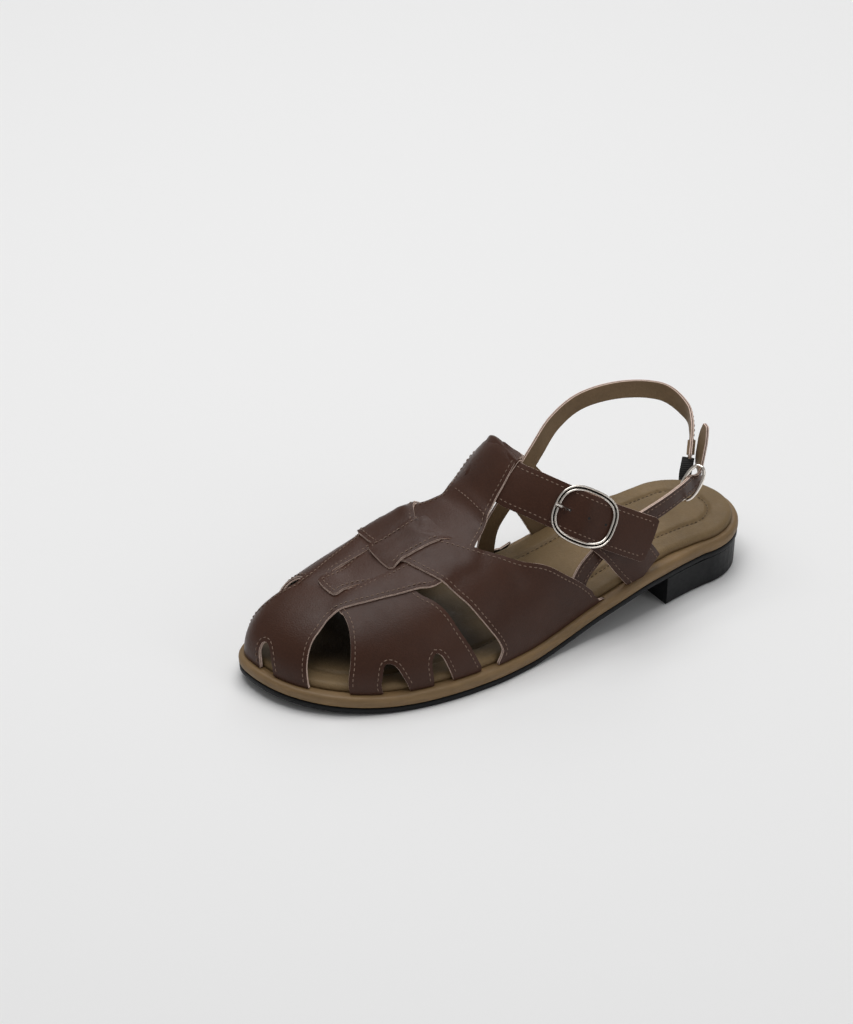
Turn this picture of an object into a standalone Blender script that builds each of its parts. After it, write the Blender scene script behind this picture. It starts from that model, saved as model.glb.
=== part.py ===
"""Fisherman sandal, the left shoe of a pair, standing empty on its sole.

Metres, +Z up. The origin is the middle of the heel's floor contact, the toe points to -Y, the
outer (lateral) side is +X. The upper is one woven wall of leather on the shape of the last.
"""
import math

import bmesh
import bpy
import numpy as np
from mathutils import Vector
from mathutils.geometry import delaunay_2d_cdt

# Sole
SOLE_LENGTH = 0.249
BALL_WIDTH = 0.0913
HEEL_WIDTH = 0.0586
HEEL_REST = 0.027  # middle of the heel's floor contact to the back of the sole
HEEL_LENGTH = 0.0545
HEEL_BLOCK = 0.0142
OUTSOLE_THICK = 0.0027
BAND_THICK = 0.0052
INSOLE_THICK = 0.0030
TOE_SPRING = 0.0045
TOE_ROUND = 0.329  # share of the length that the toe's round takes
TOE_POWER = 2.2
# Upper
LEATHER = 0.0016
LAYER_STEP = 0.0006
INSTEP_HEIGHT = 0.0865
EDGE_INSET = 0.0026  # sole's edge to the lowest layer of the upper
FOOT_CLEAR = 0.0006  # lower edge of the upper over the band
# Straps and buckles
STRAP_WIDTH = 0.0205
STRAP_THICK = 0.0022
SLING_WIDTH = 0.0082
SLING_THICK = 0.0015
LOOP_WALL = 0.0015
BUCKLE_LENGTH = 0.0285
BUCKLE_WIDTH = 0.0268
BUCKLE_WIRE = 0.0024
RING_LENGTH = 0.0185
RING_WIDTH = 0.0110
RING_WIRE = 0.0016
ELASTIC_WIDTH = 0.0065
BAR_WIRE = 0.0018
PIN_WIRE = 0.0012
PRONG_WIRE = 0.00096
PIN_HOLE = 0.0070  # from the buckle's middle back to the hole that its pin stands in
GAP = 0.0003  # clearance between pieces that touch
# Mesh steps
EDGE_STEP = 0.0032
STRAP_STEP = 0.0042
FIELD_STEP = 0.0062
SOLE_FIELD_STEP = 0.011
WIRE_STEP = 0.001
# Rounded edges of the sole's layers
TREAD_EDGE = 0.0010
BAND_EDGE = 0.0010
BAND_SWELL = 0.0002
INSOLE_EDGE = 0.0030
HEEL_TAPER = 0.0022

HEEL_BACK_Y = HEEL_REST
TOE_TIP_Y = HEEL_REST - SOLE_LENGTH
TOE_CENTRE_Y = TOE_TIP_Y + TOE_ROUND * SOLE_LENGTH

# Half widths of the sole: share of the length from the heel's back, then shares of the heel width
# and of the ball width for the outer and the inner side.
SOLE_SIDES = [
    # along, outer_heel, outer_ball, inner_heel, inner_ball
    (0.128, 0.500, 0.000, 0.500, 0.000),
    (0.189, 0.550, 0.000, 0.508, 0.000),
    (0.249, 0.500, 0.071, 0.488, 0.000),
    (0.317, 0.300, 0.232, 0.300, 0.110),
    (0.398, 0.150, 0.342, 0.150, 0.217),
    (0.478, 0.050, 0.432, 0.050, 0.330),
    (0.550, 0.000, 0.499, 0.000, 0.416),
    (0.610, 0.000, 0.526, 0.000, 0.451),
    (0.671, 0.000, 0.5345, 0.000, 0.4655),
]
# Top line of the last: height as share of the instep height, and where it lies across the ball.
RIDGE = [
    # along, height, across
    (0.349, 1.202, 0.00),
    (0.430, 1.000, -0.05),
    (0.478, 0.884, -0.08),
    (0.530, 0.723, -0.10),
    (0.590, 0.676, -0.11),
    (0.671, 0.624, -0.12),
    (0.751, 0.566, -0.12),
    (0.831, 0.538, -0.12),
    (0.912, 0.537, -0.12),
    (1.000, 0.532, -0.12),
]
# How far the last swells past the sole's edge at mid height, as shares of the ball width.
SWELL = [
    # along, outer, inner
    (0.349, 0.011, 0.088),
    (0.450, 0.011, 0.088),
    (0.510, 0.011, 0.049),
    (0.590, 0.006, 0.006),
    (0.671, 0.000, 0.000),
    (1.000, 0.000, 0.000),
]
CROWN_POWER = {1: 2.1, -1: 3.3}  # outer and inner side of the last's sections
WALL_POWER = 2.25
# Middle line of the straps' pattern across the ball.
PATTERN_MIDDLE = [
    # along, across
    (0.349, -0.131),
    (0.454, -0.137),
    (0.530, -0.093),
    (0.590, -0.060),
    (0.671, -0.060),
    (0.831, -0.060),
    (1.000, -0.060),
]


def column(rows, x, pick):
    """Smooth curve through one column of a table, against its first column."""
    data = np.array(sorted(rows), float)
    xs, ys = data[:, 0], data[:, pick]
    slope = np.gradient(ys, xs)
    x = np.clip(np.asarray(x, float), xs[0], xs[-1])
    i = np.clip(np.searchsorted(xs, x) - 1, 0, len(xs) - 2)
    h = xs[i + 1] - xs[i]
    t = (x - xs[i]) / h
    rise = ys[i + 1] - ys[i]
    return (
        ys[i]
        + t * h * slope[i]
        + t**2 * (3 * rise - h * (2 * slope[i] + slope[i + 1]))
        + t**3 * (h * (slope[i] + slope[i + 1]) - 2 * rise)
    )


def along(y):
    return (HEEL_BACK_Y - np.asarray(y, float)) / SOLE_LENGTH


def y_at(share):
    return HEEL_BACK_Y - SOLE_LENGTH * np.asarray(share, float)


def half_width(y, side):
    """Half width of the sole behind the toe's round, on the outer (1) or inner (-1) side."""
    heel, ball = (1, 2) if side > 0 else (3, 4)
    return HEEL_WIDTH * column(SOLE_SIDES, along(y), heel) + BALL_WIDTH * column(SOLE_SIDES, along(y), ball)


def ridge_x(y):
    return BALL_WIDTH * column(RIDGE, along(y), 2)


def under(y):
    """Height of the outsole's underside: toe spring, flat ball, arch, heel seat."""
    y = np.asarray(y, float)
    spring_from = y_at(0.771)
    toe = np.clip((spring_from - y) / (spring_from - TOE_TIP_Y), 0, 1) ** 2
    arch = np.clip((y - y_at(0.558)) / (y_at(0.245) - y_at(0.558)), 0, 1)
    return TOE_SPRING * toe + (HEEL_BLOCK + GAP) * arch**2 * (3 - 2 * arch)


def band_top(y):
    return under(y) + OUTSOLE_THICK + GAP + BAND_THICK


def toe_radius(dx, dy, inset):
    """Distance from the toe's middle to the sole's edge in a direction."""
    r = np.hypot(dx, dy) + 1e-9
    wide = np.where(
        dx >= 0,
        half_width(TOE_CENTRE_Y, 1) - ridge_x(TOE_CENTRE_Y),
        half_width(TOE_CENTRE_Y, -1) + ridge_x(TOE_CENTRE_Y),
    )
    deep = TOE_CENTRE_Y - TOE_TIP_Y
    across, forward = np.abs(dx) / r / (wide - inset), np.abs(dy) / r / (deep - inset)
    return (across**TOE_POWER + forward**TOE_POWER) ** (-1 / TOE_POWER)


def last(p, q):
    """Point on the last for a pattern point seen from above, and its share of the way to the edge.

    Behind the toe's middle each section runs straight across. In front of it the sections fan
    out around the toe's middle. The share s of the way out becomes sin(s) across and
    (1 - sin(s)^crown)^(1/wall) up, so the wall ends upright on the sole. The crown's power goes
    over from the outer side's to the inner side's round the toe.
    """
    p, q = np.asarray(p, float), np.asarray(q, float)
    front = q < TOE_CENTRE_Y
    middle = np.where(front, ridge_x(TOE_CENTRE_Y), ridge_x(q))
    side = np.where(p >= middle, 1, -1)
    half = np.where(side > 0, half_width(q, 1) - middle, half_width(q, -1) + middle) - EDGE_INSET
    dx, dy = p - middle, TOE_CENTRE_Y - q
    far = np.hypot(dx, dy) + 1e-9
    radius = toe_radius(dx, dy, EDGE_INSET)
    share = np.clip(np.where(front, far / radius, np.abs(dx) / half), 0, 1)
    s = np.sin(share * math.pi / 2)
    swell = BALL_WIDTH * np.where(side > 0, column(SWELL, along(q), 1), column(SWELL, along(q), 2))
    section = half * s + swell * np.sin(share * math.pi)
    x = np.where(front, middle + dx / far * radius * s, middle + side * section)
    y = np.where(front, TOE_CENTRE_Y - dy / far * radius * s, q)
    turn = np.where(front, dx / far, side)
    power = (CROWN_POWER[1] * (1 + turn) + CROWN_POWER[-1] * (1 - turn)) / 2
    up = np.clip(1 - s**power, 0, 1) ** (1 / WALL_POWER)
    foot = band_top(y) + FOOT_CLEAR
    z = foot + (INSTEP_HEIGHT * column(RIDGE, along(y), 1) - foot) * up
    return np.stack([x, y, z], -1), share


def last_normal(p, q, step=0.00005):
    across = last(p + step, q)[0] - last(p - step, q)[0]
    forward = last(p, q + step)[0] - last(p, q - step)[0]
    n = np.cross(across, forward)
    return n / (np.linalg.norm(n, axis=-1, keepdims=True) + 1e-12)


def pattern_point(share, across):
    """Plan point of a pattern row: along the sole, and across as share of the half width there."""
    share, across = np.asarray(share, float), np.asarray(across, float)
    y = y_at(share)
    middle = BALL_WIDTH * column(PATTERN_MIDDLE, share, 1)
    at = np.maximum(y, TOE_CENTRE_Y)
    outer = half_width(at, 1) - EDGE_INSET - middle
    inner = half_width(at, -1) - EDGE_INSET + middle
    return np.stack([middle + across * np.where(across >= 0, outer, inner), y], -1)


def inner_side(rows, skew=0.0):
    """The same outline on the inner side, with the same widths near the middle line.

    The inner side is narrower from above, so a share u of the outer half width becomes
    k u / (1 + (k - 1) u) of the inner one, k being the ratio of the two. skew moves it forward.
    """
    made = []
    for share, u in rows:
        y = max(float(y_at(share)), TOE_CENTRE_Y)
        middle = BALL_WIDTH * float(column(PATTERN_MIDDLE, share, 1))
        ratio = (half_width(y, 1) - EDGE_INSET - middle) / (half_width(y, -1) - EDGE_INSET + middle)
        made.append((share + skew * min(1.0, 3 * abs(u)), -u * ratio / (1 + (ratio - 1) * abs(u))))
    return made


def rounded(points, step, closed=True):
    """Points about a step apart on a smooth curve through the given ones."""
    pts = np.asarray(points, float)
    n = len(pts)
    out = []
    for i in range(n if closed else n - 1):
        a, b = pts[i], pts[(i + 1) % n]
        before = pts[i - 1] if closed or i else a
        after = pts[(i + 2) % n] if closed or i + 2 < n else b
        count = max(1, int(round(np.linalg.norm(b - a) / step)))
        t = (np.arange(count) / count)[:, None]
        ta, tb = (b - before) / 2, (after - a) / 2
        out.append(a + t * ta + t**2 * (3 * (b - a) - 2 * ta - tb) + t**3 * (ta + tb - 2 * (b - a)))
    if not closed:
        out.append(pts[-1:])
    return np.concatenate(out)


def straight(points, step):
    """Points about a step apart on the closed polygon."""
    pts = np.asarray(points, float)
    out = []
    for a, b in zip(pts, np.roll(pts, -1, axis=0)):
        count = max(1, int(round(np.linalg.norm(b - a) / step)))
        out.append(a + (np.arange(count) / count)[:, None] * (b - a))
    return np.concatenate(out)


def inside(points, polygon):
    """Which points lie inside a polygon, by the crossings to their right."""
    x, y = np.asarray(points)[:, 0, None], np.asarray(points)[:, 1, None]
    x0, y0 = polygon[:, 0], polygon[:, 1]
    x1, y1 = np.roll(x0, -1), np.roll(y0, -1)
    crosses = (y0 > y) != (y1 > y)
    with np.errstate(divide="ignore", invalid="ignore"):
        at = x0 + (y - y0) * (x1 - x0) / (y1 - y0)
    return (crosses & (x < at)).sum(axis=1) % 2 == 1


def to_edge(points):
    """Pulls pattern points that lie outside the sole's edge back onto it."""
    share = np.array([edge_share(p, q) for p, q in points])
    out = points.copy()
    for i in np.nonzero(share > 1)[0]:
        p, q = points[i]
        front = q < TOE_CENTRE_Y
        middle = float(ridge_x(TOE_CENTRE_Y if front else q))
        centre = np.array([middle, TOE_CENTRE_Y if front else q])
        out[i] = centre + (points[i] - centre) / share[i]
    return out


def edge_share(p, q):
    if q < TOE_CENTRE_Y:
        dx, dy = p - float(ridge_x(TOE_CENTRE_Y)), TOE_CENTRE_Y - q
        return math.hypot(dx, dy) / float(toe_radius(dx, dy, EDGE_INSET))
    middle = float(ridge_x(q))
    side = 1 if p >= middle else -1
    return abs(p - middle) / (float(half_width(q, side)) - side * middle - EDGE_INSET)


def field(outline, holes, edge_step, field_step):
    """Flat triangles that fill an outline around its holes: plan points and triples."""
    loops = [outline] + holes
    points = np.concatenate(loops)
    edges = []
    start = 0
    for loop in loops:
        n = len(loop)
        edges += [(start + i, start + (i + 1) % n) for i in range(n)]
        start += n
    low, high = outline.min(axis=0), outline.max(axis=0)
    xs = np.arange(low[0], high[0], field_step)
    ys = np.arange(low[1], high[1], field_step * math.sqrt(3) / 2)
    grid = np.array([(x + field_step / 2 * (j % 2), y) for j, y in enumerate(ys) for x in xs])
    keep = inside(grid, outline)
    for hole in holes:
        keep &= ~inside(grid, hole)
    distance = np.linalg.norm(grid[:, None] - points[None], axis=2).min(axis=1)
    grid = grid[keep & (distance > 0.6 * field_step)]
    every = [Vector(p) for p in np.concatenate([points, grid])]
    flat, _, faces, *_ = delaunay_2d_cdt(every, edges, [], 0, 1e-7)
    flat = np.array([tuple(v) for v in flat])
    faces = np.array([f for f in faces if len(f) == 3])
    middle = flat[faces].mean(axis=1)
    good = inside(middle, outline)
    for hole in holes:
        good &= ~inside(middle, hole)
    return flat, faces[good]


def mesh_object(name, points, faces, collection):
    """New object from points and faces, with loose points dropped and faces turned outward."""
    mesh = bpy.data.meshes.new(name)
    mesh.from_pydata([tuple(p) for p in points], [], [tuple(int(i) for i in f) for f in faces])
    bm = bmesh.new()
    bm.from_mesh(mesh)
    bmesh.ops.delete(bm, geom=[v for v in bm.verts if not v.link_faces], context="VERTS")
    bm.to_mesh(mesh)
    bm.free()
    obj = bpy.data.objects.new(name, mesh)
    collection.objects.link(obj)
    return obj


def helper(obj):
    obj.hide_render = True
    obj.display_type = "WIRE"
    return obj


def thicken(obj, thickness, offset=-1.0):
    wall = obj.modifiers.new("wall", "SOLIDIFY")
    wall.thickness = thickness
    wall.offset = offset
    return obj


def patch(name, rows, layer, collection, holes=(), thickness=LEATHER, smooth_rows=True):
    """One strap of the upper: a pattern outline laid on the last, a layer's height proud of it.

    layer is a number of layer steps, or a function of the plan points that gives the height.
    """
    outline = pattern_point(*np.array(rows).T)
    outline = rounded(outline, EDGE_STEP) if smooth_rows else straight(outline, EDGE_STEP)
    outline = to_edge(outline)
    keep = np.linalg.norm(outline - np.roll(outline, 1, axis=0), axis=1) > 0.25 * EDGE_STEP
    outline = outline[keep]
    cut = [rounded(pattern_point(*np.array(h).T), EDGE_STEP) for h in holes]
    flat, faces = field(outline, cut, EDGE_STEP, FIELD_STEP)
    p, q = flat[:, 0], flat[:, 1]
    height = layer(p, q) if callable(layer) else np.full(len(p), layer * LAYER_STEP)
    surface = last(p, q)[0] + last_normal(p, q) * height[:, None]
    a, b, c = (surface[faces[:, k]] for k in range(3))
    up = np.cross(b - a, c - a)
    out = last_normal(*flat[faces].mean(axis=1).T)
    turned = (up * out).sum(axis=1) < 0
    faces[turned] = faces[turned][:, ::-1]
    return thicken(mesh_object(name, surface, faces, collection), thickness)


def ring(inset, count_side=15, count_round=14):
    """Sole outline from above, counter-clockwise from the heel's outer side, drawn in by inset."""
    ys = np.linspace(HEEL_BACK_Y - HEEL_WIDTH / 2, TOE_CENTRE_Y, count_side)
    outer = np.stack([half_width(ys, 1), ys], -1)[::-1]
    inner = np.stack([-half_width(ys, -1), ys], -1)
    turn = np.linspace(math.pi / 2, -math.pi / 2, count_round * 2 + 1)[1:-1]
    dx, dy = np.sin(turn), np.cos(turn)
    reach = toe_radius(dx, dy, 0.0)
    toe = np.stack([ridge_x(TOE_CENTRE_Y) + dx * reach, TOE_CENTRE_Y - dy * reach], -1)
    round_y = HEEL_WIDTH / 2
    turn = np.linspace(0, math.pi, count_round * 2 - 3)[1:-1]
    heel = np.stack([np.cos(turn) * HEEL_WIDTH / 2, ys[0] + np.sin(turn) * round_y], -1)
    loop = np.concatenate([outer, heel, inner, toe[::-1]])
    ahead, behind = np.roll(loop, -1, axis=0), np.roll(loop, 1, axis=0)
    tangent = ahead - behind
    tangent /= np.linalg.norm(tangent, axis=1, keepdims=True)
    inward = np.stack([-tangent[:, 1], tangent[:, 0]], -1)
    width = inset(loop[:, 1]) if callable(inset) else inset
    return loop + inward * np.asarray(width).reshape(-1, 1)


def slab(name, profile, base, collection):
    """Closed layer of the sole from rows of inset and height over a base surface."""
    loops = [ring(inset) for inset, _ in profile]
    heights = [base(loop[:, 1]) + h for loop, (_, h) in zip(loops, profile)]
    points, faces = [], []
    n = len(loops[0])
    for loop, z in zip(loops, heights):
        points += [(x, y, h) for (x, y), h in zip(loop, z)]
    for k in range(len(loops) - 1):
        for i in range(n):
            j = (i + 1) % n
            faces.append((k * n + i, k * n + j, (k + 1) * n + j, (k + 1) * n + i))
    for loop, (_, h), flip in ((loops[0], profile[0], True), (loops[-1], profile[-1], False)):
        flat, inner = field(loop, [], EDGE_STEP, SOLE_FIELD_STEP)
        start = len(points)
        points += [(x, y, z) for (x, y), z in zip(flat, base(flat[:, 1]) + h)]
        faces += [tuple(start + f[::-1]) if flip else tuple(start + f) for f in inner]
    obj = mesh_object(name, points, faces, collection)
    bm = bmesh.new()
    bm.from_mesh(obj.data)
    bmesh.ops.remove_doubles(bm, verts=bm.verts, dist=1e-6)
    bmesh.ops.recalc_face_normals(bm, faces=bm.faces)
    bm.to_mesh(obj.data)
    bm.free()
    return obj


def resample(rows, steps, step):
    out = []
    n = len(rows)
    for i in range(n - 1):
        a, b = rows[i], rows[i + 1]
        before = rows[i - 1] if i else 2 * a - b
        after = rows[i + 2] if i + 2 < n else 2 * b - a
        count = max(1, int(round(steps[i] / step)))
        t = (np.arange(count) / count)[:, None]
        ta, tb = (b - before) / 2, (after - a) / 2
        out.append(a + t * ta + t**2 * (3 * (b - a) - 2 * ta - tb) + t**3 * (ta + tb - 2 * (b - a)))
    out.append(rows[-1:])
    return np.concatenate(out)


def material(name, colour, roughness, metallic=0.0):
    made = bpy.data.materials.new(name)
    made.use_nodes = True
    shader = made.node_tree.nodes["Principled BSDF"]
    shader.inputs["Base Color"].default_value = (*colour, 1.0)
    shader.inputs["Roughness"].default_value = roughness
    shader.inputs["Metallic"].default_value = metallic
    return made


def finish(obj, made):
    obj.data.materials.clear()
    obj.data.materials.append(made)
    obj.data.shade_smooth()
    obj.data.set_sharp_from_angle(angle=math.radians(40))
    return obj


def make_sole(parts, rubber, tan, lining):
    tread = [(TREAD_EDGE, 0.0), (0.0, 0.9 * TREAD_EDGE), (0.0, OUTSOLE_THICK)]
    finish(slab("outsole", tread, under, parts), rubber)
    low = OUTSOLE_THICK + GAP
    band = [
        (0.4 * BAND_EDGE, low),
        (-BAND_SWELL, low + 0.3 * BAND_THICK),
        (0.0, low + 0.75 * BAND_THICK),
        (BAND_EDGE, low + BAND_THICK),
    ]
    finish(slab("midsole", band, under, parts), tan)

    def seat(y):
        """The insole keeps inside the upper's wall, and nearly reaches the edge behind it."""
        wall = EDGE_INSET + LEATHER + 2 * GAP
        back = np.clip((np.asarray(y) - y_at(0.20)) / (y_at(0.12) - y_at(0.20)), 0, 1)
        return wall + (EDGE_INSET - wall) * back

    low += BAND_THICK + 2 * GAP
    rows = [
        (seat, low),
        (seat, low + 0.55 * INSOLE_THICK),
        (lambda y: seat(y) + INSOLE_EDGE / 3, low + 0.88 * INSOLE_THICK),
        (lambda y: seat(y) + INSOLE_EDGE, low + INSOLE_THICK),
    ]
    finish(slab("insole", rows, under, parts), lining)


def make_heel(parts, rubber, cutters):
    """Block under the heel seat: the sole's outline cut off by a hollowed breast."""
    rows = [(HEEL_TAPER, 0.0), (0.636 * HEEL_TAPER, 0.8 * TREAD_EDGE), (0.273 * HEEL_TAPER, HEEL_BLOCK)]
    block = slab("heel", rows, lambda y: np.zeros_like(y), parts)
    bpy.ops.mesh.primitive_cube_add(size=1)
    cutter = bpy.context.object
    cutter.name = "heel_breast_cut"
    cutter.dimensions = (2 * BALL_WIDTH, SOLE_LENGTH, 4 * HEEL_BLOCK)
    cutter.location = (0, HEEL_BACK_Y - HEEL_LENGTH - SOLE_LENGTH / 2, 0)
    bpy.ops.object.transform_apply(location=False, rotation=False, scale=True)
    for collection in cutter.users_collection:
        collection.objects.unlink(cutter)
    cutters.objects.link(cutter)
    helper(cutter)
    cut = block.modifiers.new("breast", "BOOLEAN")
    cut.operation = "DIFFERENCE"
    cut.object = cutter
    finish(block, rubber)


# Outlines of the upper's straps on the outer half: share of the sole's length, then share of the
# pattern's half width.
TOE_CAP_EDGE = [
    (0.775, 0.085), (0.740, 0.110), (0.700, 0.125), (0.650, 0.150), (0.640, 0.300), (0.680, 0.354),
    (0.704, 0.320), (0.727, 0.290), (0.745, 0.262), (0.765, 0.235), (0.785, 0.205), (0.803, 0.190),
    (0.822, 0.200), (0.842, 0.235), (0.865, 0.270), (0.885, 0.315), (0.915, 0.400), (0.940, 0.480),
    (0.965, 0.550), (1.020, 0.500), (1.030, 0.250),
]
TOE_ARCH = [
    (1.010, 0.220), (0.979, 0.210), (0.949, 0.135), (0.932, 0.070), (0.928, 0.030), (0.934, -0.010),
    (0.955, -0.010), (0.985, 0.045), (1.010, 0.050),
]
SIDE_PANEL = [
    (0.798, 0.175), (0.801, 0.226), (0.807, 0.311), (0.817, 0.389), (0.831, 0.475), (0.852, 0.577),
    (0.892, 0.745), (0.910, 0.950), (0.800, 1.080), (0.670, 1.080), (0.651, 1.000), (0.658, 0.930),
    (0.672, 0.811), (0.682, 0.693), (0.688, 0.566), (0.695, 0.464), (0.706, 0.370), (0.714, 0.280),
    (0.745, 0.150),
]
SIDE_ARCHES = [
    [
        (0.845, 1.060), (0.838, 0.850), (0.822, 0.755), (0.809, 0.695), (0.801, 0.686), (0.793, 0.719),
        (0.791, 0.803), (0.797, 1.060),
    ],
    [
        (0.752, 1.080), (0.746, 0.953), (0.740, 0.835), (0.733, 0.784), (0.727, 0.767), (0.719, 0.801),
        (0.714, 0.886), (0.708, 1.080),
    ],
]
QUARTER_FRONT = [
    (0.706, 0.048), (0.698, 0.108), (0.693, 0.177), (0.687, 0.245), (0.680, 0.314), (0.672, 0.392),
    (0.663, 0.478), (0.651, 0.564), (0.640, 0.659), (0.626, 0.762), (0.610, 0.866), (0.602, 0.936),
    (0.598, 1.040),
]
QUARTER_REAR = [
    (0.382, 1.050), (0.391, 0.976), (0.412, 0.926), (0.457, 0.813), (0.510, 0.615), (0.550, 0.443),
    (0.565, 0.386), (0.597, 0.269), (0.626, 0.147), (0.655, 0.047),
]
QUARTER_SKEW = 0.030
STRAP_SIDE = [
    (0.521, 0.176), (0.536, 0.188), (0.550, 0.205), (0.569, 0.228), (0.592, 0.260), (0.615, 0.330),
    (0.640, 0.300), (0.665, 0.100),
]
CENTRE_STRAP = [(0.790, 0.095), (0.750, 0.100), (0.690, 0.100)]
TONGUE = [(0.610, 0.130), (0.660, 0.112), (0.700, 0.105), (0.716, 0.100)]
STRAP_LAYER = 2
LOOP_FOOT = 0.535
# The instep strap over the last: where it lies along the sole, and stations across the ball.
STRAP_CROWN = [
    # across, along
    (-0.205, 0.477),
    (-0.130, 0.487),
    (-0.050, 0.491),
]
LOOP_FROM, LOOP_TO = -0.305, 0.055
LOOP_BACK = 0.03  # how far behind the crown's first station the loop may reach
# Straps that stand free: their middle line as shares of the sole's length, of the ball width and of
# the instep height, then the direction of the strap's width.
STRAP_INNER = [
    (0.353, -0.294, 0.439, 0.05, 0.86, 0.50),
    (0.396, -0.353, 0.595, 0.05, 0.80, 0.60),
    (0.440, -0.372, 0.699, 0.00, 0.80, 0.60),
]
STRAP_OUTER = [
    (0.486, 0.077, 0.824, -0.06, 0.66, 0.75),
    (0.462, 0.175, 0.795, -0.12, 0.64, 0.76),
    (0.430, 0.263, 0.746, -0.16, 0.62, 0.77),
    (0.390, 0.356, 0.682, -0.18, 0.63, 0.75),
    (0.333, 0.413, 0.587, -0.18, 0.66, 0.72),
    (0.277, 0.440, 0.491, -0.16, 0.70, 0.69),
]
BUCKLE_AT = (0.391, 0.343, 0.682)
BUCKLE_STRAP = [
    (0.301, 0.383, 0.382, 0.00, 0.95, 0.30),
    (0.325, 0.376, 0.480, -0.04, 0.87, 0.48),
    (0.347, 0.356, 0.555, -0.08, 0.78, 0.62),
    (0.369, 0.323, 0.613, -0.12, 0.72, 0.68),
]
SLING_INNER = [
    (0.442, -0.303, 0.312, 0.00, 0.93, -0.37),
    (0.416, -0.287, 0.445, 0.00, 0.85, -0.53),
    (0.384, -0.287, 0.566, 0.00, 0.75, -0.66),
    (0.341, -0.310, 0.694, 0.00, 0.62, -0.78),
    (0.293, -0.350, 0.798, 0.00, 0.45, -0.89),
    (0.233, -0.356, 0.873, 0.00, 0.20, -0.98),
    (0.157, -0.307, 0.896, 0.03, 0.00, -1.00),
    (0.096, -0.197, 0.884, 0.05, -0.03, -1.00),
    (0.076, -0.066, 0.821, 0.20, -0.06, -0.98),
    (0.086, 0.022, 0.775, 0.60, -0.22, -0.77),
    (0.104, 0.088, 0.717, 0.76, -0.40, -0.50),
    (0.120, 0.142, 0.665, 0.82, -0.48, -0.30),
]
SLING_OUTER = [
    (0.414, 0.378, 0.347, 0.00, -0.80, 0.60),
    (0.373, 0.345, 0.430, 0.00, -0.55, 0.83),
    (0.337, 0.329, 0.480, 0.00, -0.40, 0.92),
    (0.301, 0.318, 0.511, 0.00, -0.25, 0.97),
    (0.217, 0.290, 0.555, 0.00, -0.10, 0.99),
    (0.161, 0.243, 0.570, 0.00, -0.05, 1.00),
    (0.129, 0.205, 0.571, 0.00, -0.20, 0.98),
    (0.102, 0.179, 0.592, 0.35, -0.60, 0.70),
    (0.090, 0.164, 0.647, 0.80, -0.58, 0.15),
    (0.090, 0.164, 0.763, 0.84, -0.54, 0.00),
    (0.090, 0.170, 0.873, 0.84, -0.54, 0.00),
]
ELASTIC = [
    (0.124, 0.115, 0.699, 0.82, -0.48, -0.30),
    (0.129, 0.137, 0.659, 0.82, -0.48, -0.30),
    (0.133, 0.159, 0.618, 0.82, -0.48, -0.30),
]
RING_AT = (0.129, 0.200, 0.571)
RING_UP = (0.0, 0.55, 0.835)
# Where each free strap stands on the sole: side, and place along it.
STRAP_FOOT = (-1, 0.317)
BUCKLE_STRAP_FOOT = (1, 0.273)
SLING_INNER_FOOT = (-1, 0.454)
SLING_OUTER_FOOT = (1, 0.442)
STRAP_INSET = EDGE_INSET - GAP  # edge of the sole to the middle of a strap that stands on it
SLING_INSET = EDGE_INSET - 3 * LAYER_STEP + LEATHER + GAP + SLING_THICK / 2


def placed(rows):
    """Rows of shares as points in metres, each with its width direction."""
    return [(*point_at((share, across, up)), *wide) for share, across, up, *wide in rows]


def point_at(row):
    share, across, up = row
    return np.array((BALL_WIDTH * across, float(y_at(share)), INSTEP_HEIGHT * up))


def foot(place, rows, inset, turn=1):
    """The rows with a first one that stands on the band's top, its width along the edge."""
    side, share = place
    y = y_at(share) + np.array([-GAP, 0, GAP])
    ends = np.stack([side * (half_width(y, side) - inset), y, band_top(y) + 3 * GAP], -1)
    wide = turn * (ends[2] - ends[0]) / np.linalg.norm(ends[2] - ends[0])
    return [(*ends[1], *wide)] + placed(rows)


def both_sides(rows, skew=0.0):
    """Closed outline from its outer half: that half, then the inner one back again."""
    return rows + inner_side(rows, skew)[::-1]


def strap_rows():
    """Path of the instep strap: inner sole, over the last under the loop, then down to its tip."""
    rows = foot(STRAP_FOOT, STRAP_INNER, STRAP_INSET)
    for across, share in STRAP_CROWN:
        p = BALL_WIDTH * across
        q = float(y_at(share))
        wide = last(p, q + STRAP_STEP)[0] - last(p, q - STRAP_STEP)[0]
        rows.append((*last(p, q)[0], *(wide / np.linalg.norm(wide))))
    return rows + placed(STRAP_OUTER)


def make_upper(parts, cutters, leather):
    """Woven wall: straps at their own layers, joined where they cross."""
    raised = STRAP_THICK / 2 + GAP + LOOP_WALL

    def strap_height(p, q):
        """The middle strap climbs onto the loop that its own end makes."""
        t = np.clip((along(q) - LOOP_FOOT) / 0.030, 0, 1)
        return raised + (STRAP_LAYER * LAYER_STEP - raised) * t**2 * (3 - 2 * t)

    upper = patch("upper", both_sides(TOE_CAP_EDGE), 1, parts, holes=[TOE_ARCH])
    pieces = [
        patch("panel_outer", SIDE_PANEL, 0, cutters, holes=SIDE_ARCHES),
        patch("panel_inner", inner_side(SIDE_PANEL), 0, cutters, holes=list(map(inner_side, SIDE_ARCHES))),
        patch("centre_strap", both_sides(CENTRE_STRAP), 2, cutters),
        patch("quarters", both_sides(QUARTER_FRONT + QUARTER_REAR, QUARTER_SKEW), 3, cutters),
        patch("middle_strap", both_sides(STRAP_SIDE), strap_height, cutters),
        patch("tongue", both_sides(TONGUE), 4, cutters),
        make_loop(cutters),
    ]
    for piece in pieces:
        helper(piece)
        join = upper.modifiers.new(piece.name, "BOOLEAN")
        join.operation = "UNION"
        join.object = piece
    finish(upper, leather)


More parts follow.
